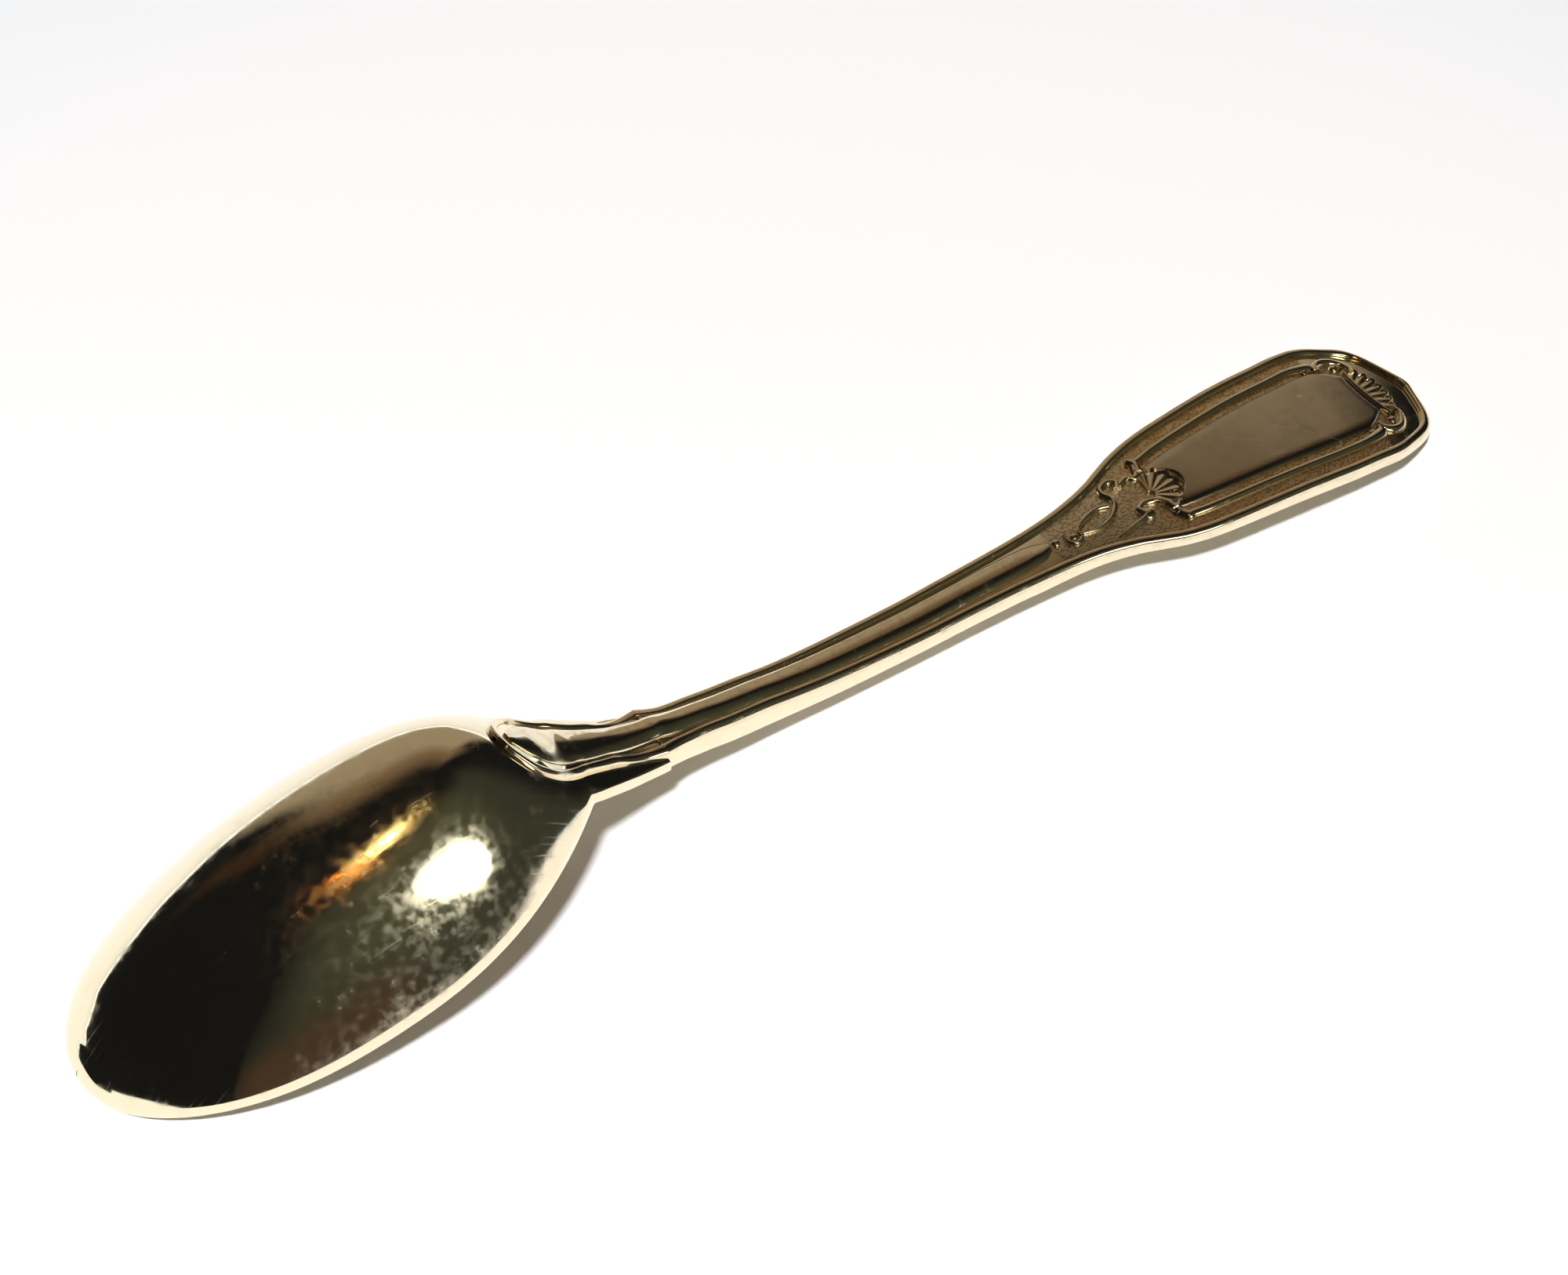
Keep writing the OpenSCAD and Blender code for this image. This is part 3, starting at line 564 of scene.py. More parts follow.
def stem_ridge():
    """A half-round ridge along the middle of the back, with a nose at each end."""
    start = HEEL_X + RIDGE_START_SHARE * HEEL_RUN
    finish = BLADE_X + RIDGE_OVER_SHARE * BLADE_L
    x = np.linspace(start, finish, 300)
    wide = smooth_at(placed(RIDGE_WIDTH_SHARES, start, finish - start, RIDGE_W), x)
    tall = smooth_at(placed(RIDGE_SHARES, start, finish - start, RIDGE_H), x)
    s = columns(28)
    px = np.repeat(x[:, None], len(s), 1)
    py = wide[:, None] * s / 2
    base = spine_at(px, py)
    return (np.stack([px, py, base + tall[:, None] * np.sqrt(1 - s**2)], -1),
            np.stack([px, py, base - RIDGE_SINK], -1))


# Raised lines of the blade
stem_line = np.stack([stem_x, half_at(stem_x, True)], 1)
LIP_X = BLADE_X + LIP_SHARE * BLADE_L
PANEL_X = BLADE_X + PANEL_START_SHARE * BLADE_L
PANEL_HALF = BLADE_HALF - PANEL_INSET


def lip_at(y):
    """The panel's end across it: bowed towards the stem in the middle."""
    return LIP_X - LIP_BOW * (1 - np.clip(np.abs(y) / PANEL_HALF, 0, 1) ** 2)


def panel():
    """A smooth panel, pillowed at its edges: height times root(1 - (1 - d) squared), where d is the
    distance from the nearest edge as a share of the rounding. At its start it leaves a round notch."""
    u = columns(60)
    t = (1 + columns(180)) / 2
    y0 = u * PANEL_HALF
    corner = np.clip((np.abs(y0) - CORNER_FROM) / CORNER_RUN, 0, 1)
    finish = lip_at(y0) - CORNER_CUT * corner**CORNER_POWER
    notch = NOTCH_X + np.sqrt(np.maximum(SHELL_R**2 - y0**2, 0))
    start = np.where(np.abs(y0) < SHELL_R, np.maximum(PANEL_X, notch), PANEL_X)
    x = start + (finish - start) * t[:, None]
    inner = half_at(x, True) - PANEL_INSET
    y = u * inner
    away = np.minimum(inner - np.abs(y), np.minimum((x - start) * 3, finish - x))
    pillow = np.sqrt(1 - (1 - np.clip(away / PANEL_ROUNDING, 0, 1)) ** 2)
    base = ground_at(x, y)
    return (np.stack([x, y, base + PANEL_H * mix(0.25, 1, pillow)], -1),
            np.stack([x, y, base - SINK], -1))


def panel_lip():
    """A thin bright thread along the panel's end."""
    y = np.linspace(LIP_HALF, -LIP_HALF, 60)
    path = np.stack([lip_at(y) + LIP_LAP, y], 1)
    return strip(path, LIP_W, LIP_H, offset=-LIP_W, across=10, roundness=2)


def shell(hub, spread, inner, outer, ribs, height):
    """A ribbed fan round a hub, with a raised line round its scalloped edge. Across the rays the
    height goes up and down with the ribs' cosine. Inner and outer give the radius at each turn."""
    turn = np.linspace(spread, -spread, ribs * 12 + 1)
    s = np.linspace(0, 1, 34)
    wave = (1 - np.cos(2 * np.pi * ribs * np.linspace(0, 1, len(turn)))) / 2
    reach = outer(turn) * (1 - SCALLOP * (1 - np.sqrt(wave)))
    r = inner(turn)[:, None] + (reach - inner(turn))[:, None] * s
    x = hub[0] + r * np.cos(turn)[:, None]
    y = hub[1] + r * np.sin(turn)[:, None]
    line = np.exp(-((s - EDGE_LINE_AT) / EDGE_LINE_W) ** 2)
    base = ground_at(x, y)
    fan = (1 - s**14) * (SHELL_GROUND + SHELL_RIBS * wave[:, None] * s)
    top = base + height * (fan + SHELL_LINE * line)
    return np.stack([x, y, top], -1), np.stack([x, y, base - SINK], -1)


def all_round(radius):
    """A function that gives the same radius at every turn."""
    return lambda turn: np.full_like(turn, radius)


# Gold and its wear
def link(tree, *pairs):
    """Links output sockets to input sockets, two by two."""
    for out, into in pairs:
        tree.links.new(out, into)


def node(tree, kind, **values):
    """A shader node. Its inputs are set as in0, in1 and so on, and its own properties by name."""
    made = tree.nodes.new("ShaderNode" + kind)
    for key, value in values.items():
        if key[2:].isdigit():
            made.inputs[int(key[2:])].default_value = value
        else:
            setattr(made, key, value)
    return made


def sum_of(tree, operation, a, b):
    """A Math node between two sockets or numbers."""
    made = node(tree, "Math", operation=operation)
    for k, value in enumerate((a, b)):
        if isinstance(value, (int, float)):
            made.inputs[k].default_value = value
        else:
            tree.links.new(value, made.inputs[k])
    return made.outputs[0]


def plus(tree, base, share, amount):
    """The base plus the share times the amount."""
    return sum_of(tree, "ADD", base, sum_of(tree, "MULTIPLY", share, amount))


def step_between(tree, value, low, high, start=0.0, finish=1.0):
    """A smooth step from start to finish as the value goes from low to high."""
    made = node(tree, "MapRange", interpolation_type="SMOOTHSTEP", in1=low, in2=high, in3=start,
                in4=finish)
    tree.links.new(value, made.inputs[0])
    return made.outputs[0]


def noise(tree, vector, scale, detail, spread=0.5):
    """Cloudy noise from 0 to 1 over the vector, rougher with spread. The scale is a number or a
    socket."""
    made = tree.nodes.new("ShaderNodeTexNoise")
    made.inputs["Detail"].default_value = detail
    made.inputs["Roughness"].default_value = spread
    tree.links.new(vector, made.inputs["Vector"])
    if isinstance(scale, (int, float)):
        made.inputs["Scale"].default_value = scale
    else:
        tree.links.new(scale, made.inputs["Scale"])
    return made.outputs["Fac"]


def blended(tree, share, first, second):
    """A colour mixed between two colours or sockets by the share."""
    made = tree.nodes.new("ShaderNodeMix")
    made.data_type = "RGBA"
    tree.links.new(share, made.inputs[0])
    for k, colour in ((6, first), (7, second)):
        if isinstance(colour, tuple):
            made.inputs[k].default_value = (*colour, 1)
        else:
            tree.links.new(colour, made.inputs[k])
    return made.outputs[2]


def group(name, inputs, outputs):
    """An empty node group. Inputs are numbers, apart from Place, which is a vector."""
    tree = bpy.data.node_groups.new(name, "ShaderNodeTree")
    tree.interface.new_socket("Place", in_out="INPUT", socket_type="NodeSocketVector")
    for key, value in inputs.items():
        socket = tree.interface.new_socket(key, in_out="INPUT", socket_type="NodeSocketFloat")
        socket.default_value = value
    for key in outputs:
        tree.interface.new_socket(key, in_out="OUTPUT", socket_type="NodeSocketFloat")
    return tree, tree.nodes.new("NodeGroupInput").outputs, tree.nodes.new("NodeGroupOutput").inputs


def tarnish_group():
    """Blotches of dulled gilding, and the fine grain in them."""
    tree, given, out = group("tarnish", {"Scale": 300.0, "Cover": 0.5}, ["Blotch", "Grain"])
    broad = noise(tree, given["Place"], given["Scale"], 4)
    fine = noise(tree, given["Place"], sum_of(tree, "MULTIPLY", given["Scale"], 3), 3)
    level = sum_of(tree, "SUBTRACT", plus(tree, broad, given["Cover"], 0.3), 0.15)
    cover = step_between(tree, level, 0.35, 0.75)
    dots = step_between(tree, fine, 0.34, 0.7)
    dotted = sum_of(tree, "ADD", sum_of(tree, "MULTIPLY", dots, 0.75), 0.25)
    link(tree, (sum_of(tree, "MULTIPLY", cover, dotted), out["Blotch"]), (fine, out["Grain"]))
    return tree


def hairline_group():
    """Fine scratches in three directions: noise drawn out along each, of which only the peaks stay."""
    tree, given, out = group("hairlines", {"Scale": 60.0, "Cover": 0.5}, ["Lines"])
    total = None
    for turn, drawn in ((0.45, 26), (-0.75, 34), (1.25, 42)):
        turned = node(tree, "Mapping", vector_type="POINT")
        turned.inputs["Rotation"].default_value = (0, 0, turn)
        turned.inputs["Scale"].default_value = (1, drawn, 1)
        link(tree, (given["Place"], turned.inputs["Vector"]))
        cloud = noise(tree, turned.outputs[0], given["Scale"], 2)
        lines = step_between(tree, plus(tree, cloud, given["Cover"], 0.1), 0.7, 0.76)
        total = lines if total is None else sum_of(tree, "MAXIMUM", total, lines)
    link(tree, (total, out["Lines"]))
    return tree


def stipple_group():
    """Ground struck with a punch: round pits side by side, and a mask of the burrs between them, on which
    the ground's colour lays a painted glint.
    """
    tree, given, out = group("stipple", {"Scale": 3200.0}, ["Height", "BurrGlint"])
    cells = node(tree, "TexVoronoi", feature="F1")
    link(tree, (given["Place"], cells.inputs["Vector"]), (given["Scale"], cells.inputs["Scale"]))
    pits = step_between(tree, cells.outputs["Distance"], 0.1, 0.62)
    rough = noise(tree, given["Place"], sum_of(tree, "MULTIPLY", given["Scale"], 1.7), 2)
    height = plus(tree, pits, rough, 0.5)
    link(tree, (height, out["Height"]), (step_between(tree, height, 0.95, 1.2), out["BurrGlint"]))
    return tree


TARNISH = tarnish_group()
HAIRLINES = hairline_group()
STIPPLE = stipple_group()


def placed_group(tree, made_group, place, **values):
    """A node group put into a tree, with its number inputs set."""
    made = tree.nodes.new("ShaderNodeGroup")
    made.node_tree = made_group
    tree.links.new(place, made.inputs["Place"])
    for key, value in values.items():
        made.inputs[key].default_value = value
    return made.outputs


# The height that one stands for in the bump, in metres, and how rough and deep hairlines are
BUMP_DISTANCE = 0.000008
HAIR_ROUGH = 0.08
HAIR_DEPTH = 0.1
HAIR_SCALE = 150.0

# The bowl's belly, rubbed dull in a round patch: its middle, the distances to which it is full and at
# which it is gone, in metres, then the least and the added roughness, and its small dents
BELLY_HAZE = {"centre": (-0.045, -0.0055, 0.011), "full": 0.005, "faint": 0.02, "scale": 1100,
              "least": 0.04, "more": 0.13, "dent_scale": 1500, "dent": 0.5}

# The punched ground: pits to the metre, the colours of pit and burr on the blade and on the part
#  below it, the places in metres between which one turns into the other, and its roughness and depth.
#  Over the orange of the matt ground, the pits are painted darker, as painted shade in the hollows,
#  and the burrs paler, as a painted glint.
PUNCHED = {"scale": 3600.0, "blade": ((0.86, 0.55, 0.26), (1.0, 0.82, 0.5)),
           "lower": ((0.74, 0.58, 0.38), (0.95, 0.86, 0.64)), "turn": (0.034, 0.042),
           "rough": 0.25, "depth": 3.4}

# A single scratch: roughness, depth and colour
SCORE_ROUGH = 0.2
SCORE_DEPTH = 0.3
SCORE_TINT = (1.0, 0.95, 0.8)


def gold(name, bright, dull, rough, dulled, cover, scale, relief, lines=0.1, ground=None, marks=None,
         haze=None):
    """Gilding that is bright where it is clean and darker and rougher where it is dulled.

    Where a ground is given, the attribute of that name marks the punched ground, in its own colours.
    Marks is a function that puts out a mask of single scratches."""
    made = bpy.data.materials.new(name)
    made.use_nodes = True
    tree = made.node_tree
    shader = tree.nodes["Principled BSDF"]
    shader.inputs["Metallic"].default_value = 1
    place = tree.nodes.new("ShaderNodeTexCoord").outputs["Object"]
    worn = placed_group(tree, TARNISH, place, Scale=scale, Cover=cover)
    hair = placed_group(tree, HAIRLINES, place, Scale=HAIR_SCALE, Cover=lines)["Lines"]
    colour = blended(tree, worn["Blotch"], bright, dull)
    roughness = step_between(tree, worn["Blotch"], 0, 1, rough, dulled)
    roughness = plus(tree, roughness, hair, HAIR_ROUGH)
    height = sum_of(tree, "SUBTRACT", sum_of(tree, "MULTIPLY", worn["Grain"], relief),
                    sum_of(tree, "MULTIPLY", hair, HAIR_DEPTH))
    if haze:
        away = node(tree, "VectorMath", operation="DISTANCE", in1=haze["centre"])
        link(tree, (place, away.inputs[0]))
        patch = step_between(tree, away.outputs["Value"], haze["full"], haze["faint"], 1.0, 0.0)
        cloud = step_between(tree, noise(tree, place, haze["scale"], 3), 0.36, 0.66)
        rubbed = sum_of(tree, "ADD", sum_of(tree, "MULTIPLY", cloud, haze["more"]), haze["least"])
        roughness = plus(tree, roughness, patch, rubbed)
        dents = sum_of(tree, "MULTIPLY", noise(tree, place, haze["dent_scale"], 1, 0.3), haze["dent"])
        height = plus(tree, height, patch, dents)
    if marks:
        score = marks(tree, place)
        roughness = plus(tree, roughness, score, SCORE_ROUGH)
        height = sum_of(tree, "SUBTRACT", height, sum_of(tree, "MULTIPLY", score, SCORE_DEPTH))
        colour = blended(tree, score, colour, SCORE_TINT)
    if ground:
        where = node(tree, "Attribute", attribute_name="ground").outputs["Fac"]
        punched = placed_group(tree, STIPPLE, place, Scale=ground["scale"])
        spot = node(tree, "SeparateXYZ")
        link(tree, (place, spot.inputs[0]))
        # Painted shade in the punched pits and a painted glint on the burrs, laid over the ground's orange.
        upper = step_between(tree, spot.outputs["X"], *ground["turn"])
        base = blended(tree, upper, blended(tree, punched["BurrGlint"], *ground["lower"]),
                       blended(tree, punched["BurrGlint"], *ground["blade"]))
        colour = blended(tree, where, colour, base)
        roughness = plus(tree, roughness, where, ground["rough"])
        height = plus(tree, height, sum_of(tree, "MULTIPLY", where, punched["Height"]), ground["depth"])
    bump = tree.nodes.new("ShaderNodeBump")
    bump.inputs["Strength"].default_value = 1
    bump.inputs["Distance"].default_value = BUMP_DISTANCE
    link(tree, (height, bump.inputs["Height"]), (bump.outputs[0], shader.inputs["Normal"]),
         (colour, shader.inputs["Base Color"]), (roughness, shader.inputs["Roughness"]))
    return made


def segment_mask(tree, place, start, finish, width):
    """Nearness to a scratch from start to finish, in metres: 1 on it and 0 beyond its width."""
    a, b = np.array([*start, 0.0]) * MM, np.array([*finish, 0.0]) * MM
    run = b - a
    flat = node(tree, "VectorMath", operation="MULTIPLY", in1=(1, 1, 0))
    away = node(tree, "VectorMath", operation="SUBTRACT", in1=tuple(a))
    along = node(tree, "VectorMath", operation="DOT_PRODUCT", in1=tuple(run / (run @ run)))
    kept = node(tree, "Clamp")
    back = node(tree, "VectorMath", operation="SCALE")
    back.inputs[0].default_value = tuple(run)
    rest = node(tree, "VectorMath", operation="SUBTRACT")
    size = node(tree, "VectorMath", operation="LENGTH")
    link(tree, (place, flat.inputs[0]), (flat.outputs[0], away.inputs[0]),
         (away.outputs[0], along.inputs[0]), (along.outputs["Value"], kept.inputs[0]),
         (kept.outputs[0], back.inputs["Scale"]), (away.outputs[0], rest.inputs[0]),
         (back.outputs[0], rest.inputs[1]), (rest.outputs[0], size.inputs[0]))
    return step_between(tree, size.outputs["Value"], width * MM * 0.3, width * MM, 1.0, 0.0)


# Scratches on the panel: start, finish and half-width, and one small pale nick
SCORES = [[(53.1, 0.3), (54.7, -1.1), 0.06], [(54.7, -1.1), (57.5, -4.5), 0.06],
          [(55.1, -0.7), (55.8, -2.1), 0.05], [(48.2, 1.6), (51.5, -1.2), 0.05],
          [(50.4, -2.6), (53.6, -3.6), 0.05], [(58.0, 2.2), (58.15, 2.2), 0.3]]


def panel_marks(tree, place):
    """All the single scratches of the panel as one mask."""
    total = None
    for start, finish, width in SCORES:
        mask = segment_mask(tree, place, start, finish, width)
        total = mask if total is None else sum_of(tree, "MAXIMUM", total, mask)
    return total


GILT = (0.95, 0.85, 0.62)
polished = gold("polished_gold", GILT, (0.9, 0.79, 0.55), 0.06, 0.2, 0.35, 420, 0.25, haze=BELLY_HAZE)
thread = gold("thread_gold", (0.92, 0.81, 0.58), (0.74, 0.6, 0.4), 0.12, 0.3, 0.4, 700, 0.25)
# The panel's gilt is painted far darker than the rest of the gold: painted shade that stands for the dark
# room it mirrors.
smooth = gold("panel_gold", (0.62, 0.54, 0.41), (0.54, 0.46, 0.34), 0.2, 0.3, 0.5, 300, 0.3, lines=0.0,
              marks=panel_marks)
stippled = gold("stippled_gold", GILT, (0.82, 0.7, 0.48), 0.12, 0.28, 0.4, 500, 0.4, ground=PUNCHED)
ornament = gold("ornament_gold", (0.95, 0.84, 0.6), (0.85, 0.66, 0.4), 0.2, 0.4, 0.4, 900, 0.3)


def pair(name, grids, material):
    """The same form on both sides, as the nodes name_left and name_right."""
    piece(name + "_left", slab(*grids), material)
    piece(name + "_right", slab(*mirrored(grids)), material)


# The pieces
piece("bowl", slab(*blank(bowl_x, bowl_half(bowl_share), False, 150)), polished)
piece("neck", slab(*blank(neck_x, half_at(neck_x, False), False, 150)), polished)
piece("heel_drop", slab(*heel_drop()), polished)
piece("heel_thread", slab(*heel_thread()), thread)
piece("stem", slab(*blank(stem_x, half_at(stem_x, True), True, 60)), polished)
piece("stem_ridge", slab(*stem_ridge()), thread)
stem_thread_h = BORDER_H * mix(THREAD_LOW, 1, ramp((stem_x - STEP_X) / SEAM_RUN))
pair("stem_thread", strip(stem_line, BORDER_W, stem_thread_h), thread)


# Where the punched ground begins, how that leans with y, and where the plain corners and the plain
# tip begin, each with the length over which it fades
GROUND_X, GROUND_LEAN, GROUND_FADE = 26.7, 0.25, 0.7
CORNER_X, CORNER_Y, CORNER_FADE = 61.2, 5.4, 0.9
PLAIN_X, PLAIN_LEAN = 64.4, 0.12
# Share of the border's width at which the ground comes out from under it
UNDER_BORDER = 0.75


def ground_mask(grids):
    """1 on the punched ground: inside the border, past the stem's ridge and short of the plain tip."""
    top, low = grids
    x, y = top[..., 0], np.abs(top[..., 1])
    inset = half_at(x, True) - y
    within = ramp((inset - BORDER_W * UNDER_BORDER) / (BORDER_W * (1 - UNDER_BORDER)))
    begun = ramp((x - GROUND_X - GROUND_LEAN * y) / GROUND_FADE)
    plain = ramp((x - CORNER_X) / CORNER_FADE) * ramp((y - CORNER_Y) / GROUND_FADE)
    beyond = ramp((x - PLAIN_X + PLAIN_LEAN * y) / GROUND_FADE)
    mask = within * begun * (1 - np.maximum(plain, beyond))
    mask[:, 0] = 0
    mask[:, -1] = 0
    return {"ground": np.concatenate([mask.ravel(), np.zeros(low[..., 0].size)])}


blade_grids = blank(blade_line[:, 0], blade_line[:, 1], True, 110)
piece("blade", slab(*blade_grids), stippled, ground_mask(blade_grids))
border_line = np.vstack([blade_line[:-1], [[END_X, 0]]])
pair("border", strip(border_line, BORDER_W, BORDER_H), thread)

# The inner threads run along the outline at this inset between two places, with a hook at each end
INNER = BORDER_W + GROOVE_W + THREAD_W / 2
INNER_START_X = 40.2
INNER_END_X = 59.5
INNER_EVERY = 12
inside = blade_line + path_normals(blade_line) * INNER
run = inside[(inside[:, 0] > INNER_START_X) & (inside[:, 0] < INNER_END_X)][::INNER_EVERY]
inner_path = np.vstack([[[39.3, 3.0], [39.8, 4.0]], run, [[60.9, 5.5], [61.9, 5.2], [62.1, 4.6]]])
inner = bead(inner_path, [[0, 1.1], [0.1, 0.9], [0.85, 0.9], [0.96, 1.2], [1, 0.9]],
             [[0, THREAD_H], [1, THREAD_H + 0.1]])
pair("inner_thread", inner, thread)
piece("panel", slab(*panel()), smooth)
piece("panel_lip", slab(*panel_lip()), thread)
lower = shell(SHELL_HUB, math.radians(80), all_round(SHELL_START_R), all_round(SHELL_R), 7, SHELL_H)
piece("lower_shell", slab(*lower), ornament)
END_SHELL_X = 61.4
END_SHELL_INNER = 3.1
END_SHELL_OUTER = 5.3
end = shell((END_SHELL_X, 0), math.radians(40), lambda turn: END_SHELL_INNER / np.cos(turn),
            all_round(END_SHELL_OUTER), 7, SHELL_H)
piece("end_shell", slab(*end), ornament)
hook = bead([[62.2, 4.3], [62.5, 5.0], [63.3, 5.4], [64.4, 5.2], [65.2, 4.4], [65.5, 3.5], [65.2, 2.8]],
            [[0, 0.8], [0.3, 1], [1, 0.7]], [[0, SCROLL_H], [1, SCROLL_H]])
pair("end_scroll", hook, ornament)
far_scroll = [
    bead([[29.0, 0.3], [28.8, -0.5], [29.3, -1.1], [30.1, -0.9], [30.3, -0.1], [30.9, 0.5], [32.2, 1.0],
          [33.4, 1.2], [34.4, 0.9]], [[0, 0.35], [0.3, 0.5], [1, 0.6]], [[0, 0.35], [1, 0.45]]),
    bead([[30.5, -0.6], [31.5, -0.8], [32.6, -0.8], [33.8, -0.4], [34.9, 0.5], [35.3, 1.5], [35.0, 2.4],
          [35.3, 3.2], [36.2, 3.5], [36.9, 3.0], [36.6, 2.3]],
         [[0, 0.3], [0.3, 0.55], [0.7, 0.7], [1, 0.8]], [[0, 0.35], [1, 0.45]]),
    bead([[36.9, 2.5], [37.9, 2.8], [38.7, 2.4], [39.4, 2.9], [39.7, 3.8], [39.4, 4.5]],
         [[0, 0.7], [0.5, 0.8], [1, 1]], [[0, 0.4], [1, 0.5]])]
near_scroll = [
    bead([[33.2, -2.6], [34.6, -2.4], [36.0, -2.2], [36.9, -1.9]], [[0, 0.2], [0.6, 0.6], [1, 0.7]],
         [[0, 0.3], [1, 0.5]]),
    bead([[36.7, -1.8], [36.5, -1.1], [37.2, -0.7], [38.2, -0.9], [39.0, -1.6], [39.3, -2.6], [39.4, -3.4]],
         [[0, 0.9], [0.4, 0.8], [1, 1]], [[0, 0.5], [1, 0.5]])]
piece("lower_scroll_left", joined([slab(*g) for g in far_scroll]), ornament)
piece("lower_scroll_right", joined([slab(*g) for g in near_scroll]), ornament)
BERRIES = [[27.8, 0, 0.45, 0.35], [29.6, -0.3, 0.4, 0.3], [36.9, -1.8, 0.8, 0.5], [64.1, 4.2, 0.5, 0.4],
           [64.1, -4.2, 0.5, 0.4], [61.0, 4.9, 0.4, 0.3], [61.0, -4.9, 0.4, 0.3]]
piece("berries", joined([slab(*dome(*b)) for b in BERRIES]), ornament)

# The table, in metres. It keeps the spoon's shadow, is white round the spoon and painted a little darker
#  and bluer further off, as a painted falloff of the light, and beyond that it glows white to the camera
#  and in reflections. Its near edge is close to the bowl, turned a little from the camera, so that the
#  gold mirrors the dark room beyond it.
TABLE_HALF = 12
NEAR_EDGE = 0.1
NEAR_EDGE_TURN = math.radians(28)
TABLE_WHITE = (0.92, 0.92, 0.92)
# Painted falloff: the table's colour further off, darker and bluer, stands for dimmer, cooler light there.
TABLE_PAINTED_FALLOFF = (0.68, 0.8, 0.88)
BLUE_FROM, BLUE_TO = 0.09, 0.22
GLOW_FROM, GLOW_TO = 0.2, 0.4
LEAST_GLOW = 0.03
# Level directions straight away from the camera and to its right, and the bowl's place
AWAY = np.array([0.563, 0.826])
ASIDE = np.array([0.826, -0.563])
BOWL_AT = np.array([-0.04, 0])
inward = math.cos(NEAR_EDGE_TURN) * AWAY - math.sin(NEAR_EDGE_TURN) * ASIDE
across = math.sin(NEAR_EDGE_TURN) * AWAY + math.cos(NEAR_EDGE_TURN) * ASIDE
reaches = ((-NEAR_EDGE, -TABLE_HALF), (-NEAR_EDGE, TABLE_HALF), (TABLE_HALF, TABLE_HALF),
           (TABLE_HALF, -TABLE_HALF))
corners = [BOWL_AT + inward * a + across * b for a, b in reaches]
table_mesh = bpy.data.meshes.new("table")
table_mesh.from_pydata([(*c, 0) for c in corners], [], [(0, 1, 2, 3)])
table = bpy.data.objects.new("table", table_mesh)
bpy.context.scene.collection.objects.link(table)
cloth = bpy.data.materials.new("table_white")
cloth.use_nodes = True
tree = cloth.node_tree
board = tree.nodes["Principled BSDF"]
board.inputs["Roughness"].default_value = 0.9
spread = node(tree, "VectorMath", operation="LENGTH")
link(tree, (tree.nodes.new("ShaderNodeTexCoord").outputs["Object"], spread.inputs[0]))
off = step_between(tree, spread.outputs["Value"], BLUE_FROM, BLUE_TO)
faded = blended(tree, off, TABLE_WHITE, TABLE_PAINTED_FALLOFF)
link(tree, (faded, board.inputs["Base Color"]))
board.inputs["Specular IOR Level"].default_value = 0
board.inputs["Emission Color"].default_value = (1, 1, 1, 1)
seen = tree.nodes.new("ShaderNodeLightPath").outputs
shown_to = sum_of(tree, "MAXIMUM", seen["Is Camera Ray"], seen["Is Glossy Ray"])
shown_to = sum_of(tree, "MAXIMUM", shown_to, seen["Is Transmission Ray"])
lift = step_between(tree, spread.outputs["Value"], GLOW_FROM, GLOW_TO, LEAST_GLOW, 1.0)
link(tree, (sum_of(tree, "MULTIPLY", shown_to, lift), board.inputs["Emission Strength"]))
table_mesh.materials.append(cloth)

# The camera, at the photograph's angle. The origin's place in the camera's frame is in millimetres.
LOOK_DOWN = math.radians(47.38)
HEADING = math.radians(34.26)
ROLL = math.radians(-0.23)
ORIGIN_SEEN = np.array([1.42, 6.13, 301.73])
FOCAL_PIXELS = 4400
PICTURE_W = 2000
SENSOR_W = 36


def camera_axes():
    """Rows: the camera's right, down and forward directions in the spoon's frame."""
    up = np.array([0, -math.cos(LOOK_DOWN), -math.sin(LOOK_DOWN)])
    ahead = np.array([0, -math.sin(LOOK_DOWN), math.cos(LOOK_DOWN)])
    right = np.array([1, 0, 0])
    along = math.cos(HEADING) * right + math.sin(HEADING) * ahead
    aside = -math.sin(HEADING) * right + math.cos(HEADING) * ahead
    turned = np.stack([along, aside, up], 1)
    roll = np.array([[math.cos(ROLL), -math.sin(ROLL), 0], [math.sin(ROLL), math.cos(ROLL), 0], [0, 0, 1]])
    return roll @ turned


axes = camera_axes()
place = -axes.T @ ORIGIN_SEEN * MM
camera = bpy.data.objects.new("camera", bpy.data.cameras.new("camera"))
camera.data.sensor_width = SENSOR_W
camera.data.lens = FOCAL_PIXELS / PICTURE_W * SENSOR_W
camera.data.clip_start = 0.01
camera.data.clip_end = 50
camera.matrix_world = Matrix([[axes[0][k], -axes[1][k], -axes[2][k], place[k]] for k in range(3)]
                             + [[0, 0, 0, 1]])
bpy.context.scene.collection.objects.link(camera)
bpy.context.scene.camera = camera


# Light
def toward_at(azimuth, elevation):
    """A direction from the spoon, by degrees from straight away from the camera towards its right,
    and by degrees above the table."""
    az, el = math.radians(azimuth), math.radians(elevation)
    flat = math.cos(el) * (math.cos(az) * AWAY + math.sin(az) * ASIDE)
    return np.array([*flat, math.sin(el)])


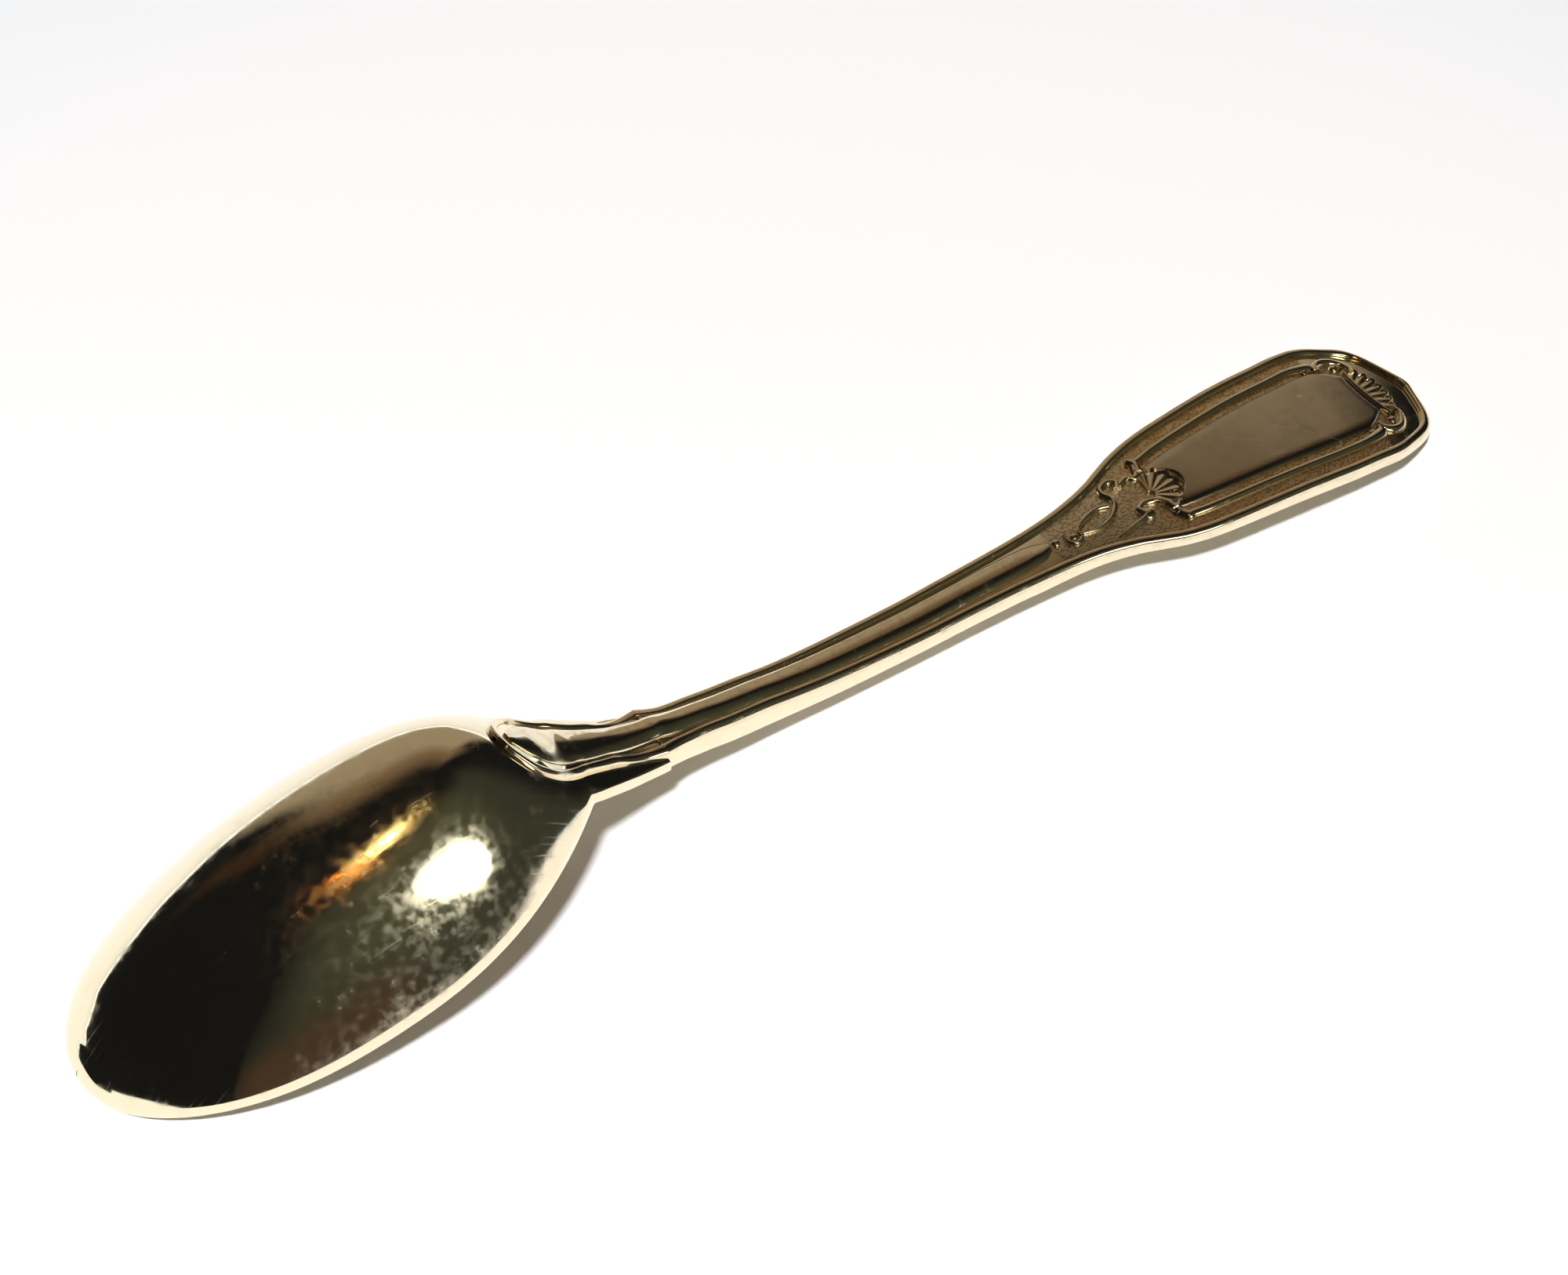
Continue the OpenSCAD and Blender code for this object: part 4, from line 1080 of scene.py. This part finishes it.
def lamp(name, toward, distance, size, power, colour, lean=0.0, mirrored_too=True, lights=True):
    """A soft lamp, size wide and high, in a direction from the spoon and turned to face it.

    It may be left out of what the gold mirrors, or out of what lights the table."""
    data = bpy.data.lights.new(name, "AREA")
    data.shape = "ELLIPSE"
    data.size, data.size_y = size
    data.energy = power
    data.color = colour
    obj = bpy.data.objects.new(name, data)
    d = np.array(toward, float)
    d /= np.linalg.norm(d)
    level = np.cross([0, 0, 1], d)
    level /= np.linalg.norm(level)
    rise = np.cross(d, level)
    side = math.cos(lean) * level + math.sin(lean) * rise
    lift = np.cross(d, side)
    spot = np.array([*BOWL_AT, 0]) + d * distance
    obj.matrix_world = Matrix([[side[k], lift[k], d[k], spot[k]] for k in range(3)] + [[0, 0, 0, 1]])
    obj.visible_glossy = mirrored_too
    obj.visible_diffuse = lights
    bpy.context.scene.collection.objects.link(obj)


# The key and the warm fill light the table. The others are seen only in the gold: a window, and the
# hot core and the glowing arc of a lamp.
lamp("key", toward_at(-174, 66), 1.2, (0.14, 0.14), 16.5, (0.93, 0.97, 1), mirrored_too=False)
lamp("fill", (0.02, 0, 1), 1.5, (1.8, 1.8), 3, (1, 0.45, 0.2), mirrored_too=False)
lamp("window", toward_at(125, 29), 0.24, (0.14, 0.06), 0.09, (0.97, 1, 0.94),
     lean=math.radians(-48), lights=False)
lamp("lamp_core", toward_at(157, 71), 1.0, (0.06, 0.05), 0.3, (1, 0.72, 0.3), lights=False)
lamp("lamp_arc", toward_at(172, 66), 1.0, (0.025, 0.26), 0.07, (1, 0.32, 0.04),
     lean=math.radians(60), lights=False)

# The room, seen only in the gold: a tan wall on the far side, and dark elsewhere. To the camera it is
# as white as the table. Each row is a tint, the azimuths between which it lies and how softly it
# ends there, then the same for its elevations. Angles are in degrees, azimuth from straight away from
# the camera to its right.
ROOM_DARK = (0.008, 0.0085, 0.009)
ROOM = [
    ((0.035, 0.037, 0.028), 60, 175, 30, -30, 60, 20),
    ((0.06, 0.062, 0.036), 98, 160, 40, 20, 64, 30),
    ((0.06, 0.037, 0.024), 142, 178, 14, -20, 14, 12),
    ((0.17, 0.115, 0.068), -48, 30, 14, 34, 64, 24),
    ((0.32, 0.263, 0.19), -38, 22, 8, -20, 44, 22),
    ((0.035, 0.02, 0.012), -62, -50, 8, 18, 46, 14),
]
world = bpy.data.worlds.new("room")
bpy.context.scene.world = world
world.use_nodes = True
sky = world.node_tree
toward = sky.nodes.new("ShaderNodeTexCoord").outputs["Generated"]


def part_of(direction):
    """Share of the world direction along a direction given in the spoon's frame."""
    made = node(sky, "VectorMath", operation="DOT_PRODUCT", in1=tuple(direction))
    link(sky, (toward, made.inputs[0]))
    return made.outputs["Value"]


DEGREES = 180 / math.pi
turned = sum_of(sky, "ARCTAN2", part_of((*ASIDE, 0)), part_of((*AWAY, 0)))
raised = sum_of(sky, "ARCSINE", part_of((0, 0, 1)), 0)
azimuth = sum_of(sky, "MULTIPLY", turned, DEGREES)
elevation = sum_of(sky, "MULTIPLY", raised, DEGREES)
shown = ROOM_DARK
for tint, left, right, side_soft, low, high, soft in ROOM:
    share = None
    for value, edge, wide, falls in ((azimuth, left, side_soft, False), (azimuth, right, side_soft, True),
                                     (elevation, low, soft, False), (elevation, high, soft, True)):
        part = step_between(sky, value, edge - wide / 2, edge + wide / 2, float(falls), float(not falls))
        share = part if share is None else sum_of(sky, "MULTIPLY", share, part)
    shown = blended(sky, share, shown, tint)
ray = sky.nodes.new("ShaderNodeLightPath").outputs
shown = blended(sky, ray["Is Camera Ray"], shown, (1.0, 1.0, 1.0))
link(sky, (shown, sky.nodes["Background"].inputs["Color"]))

bpy.context.scene.view_settings.view_transform = "Standard"
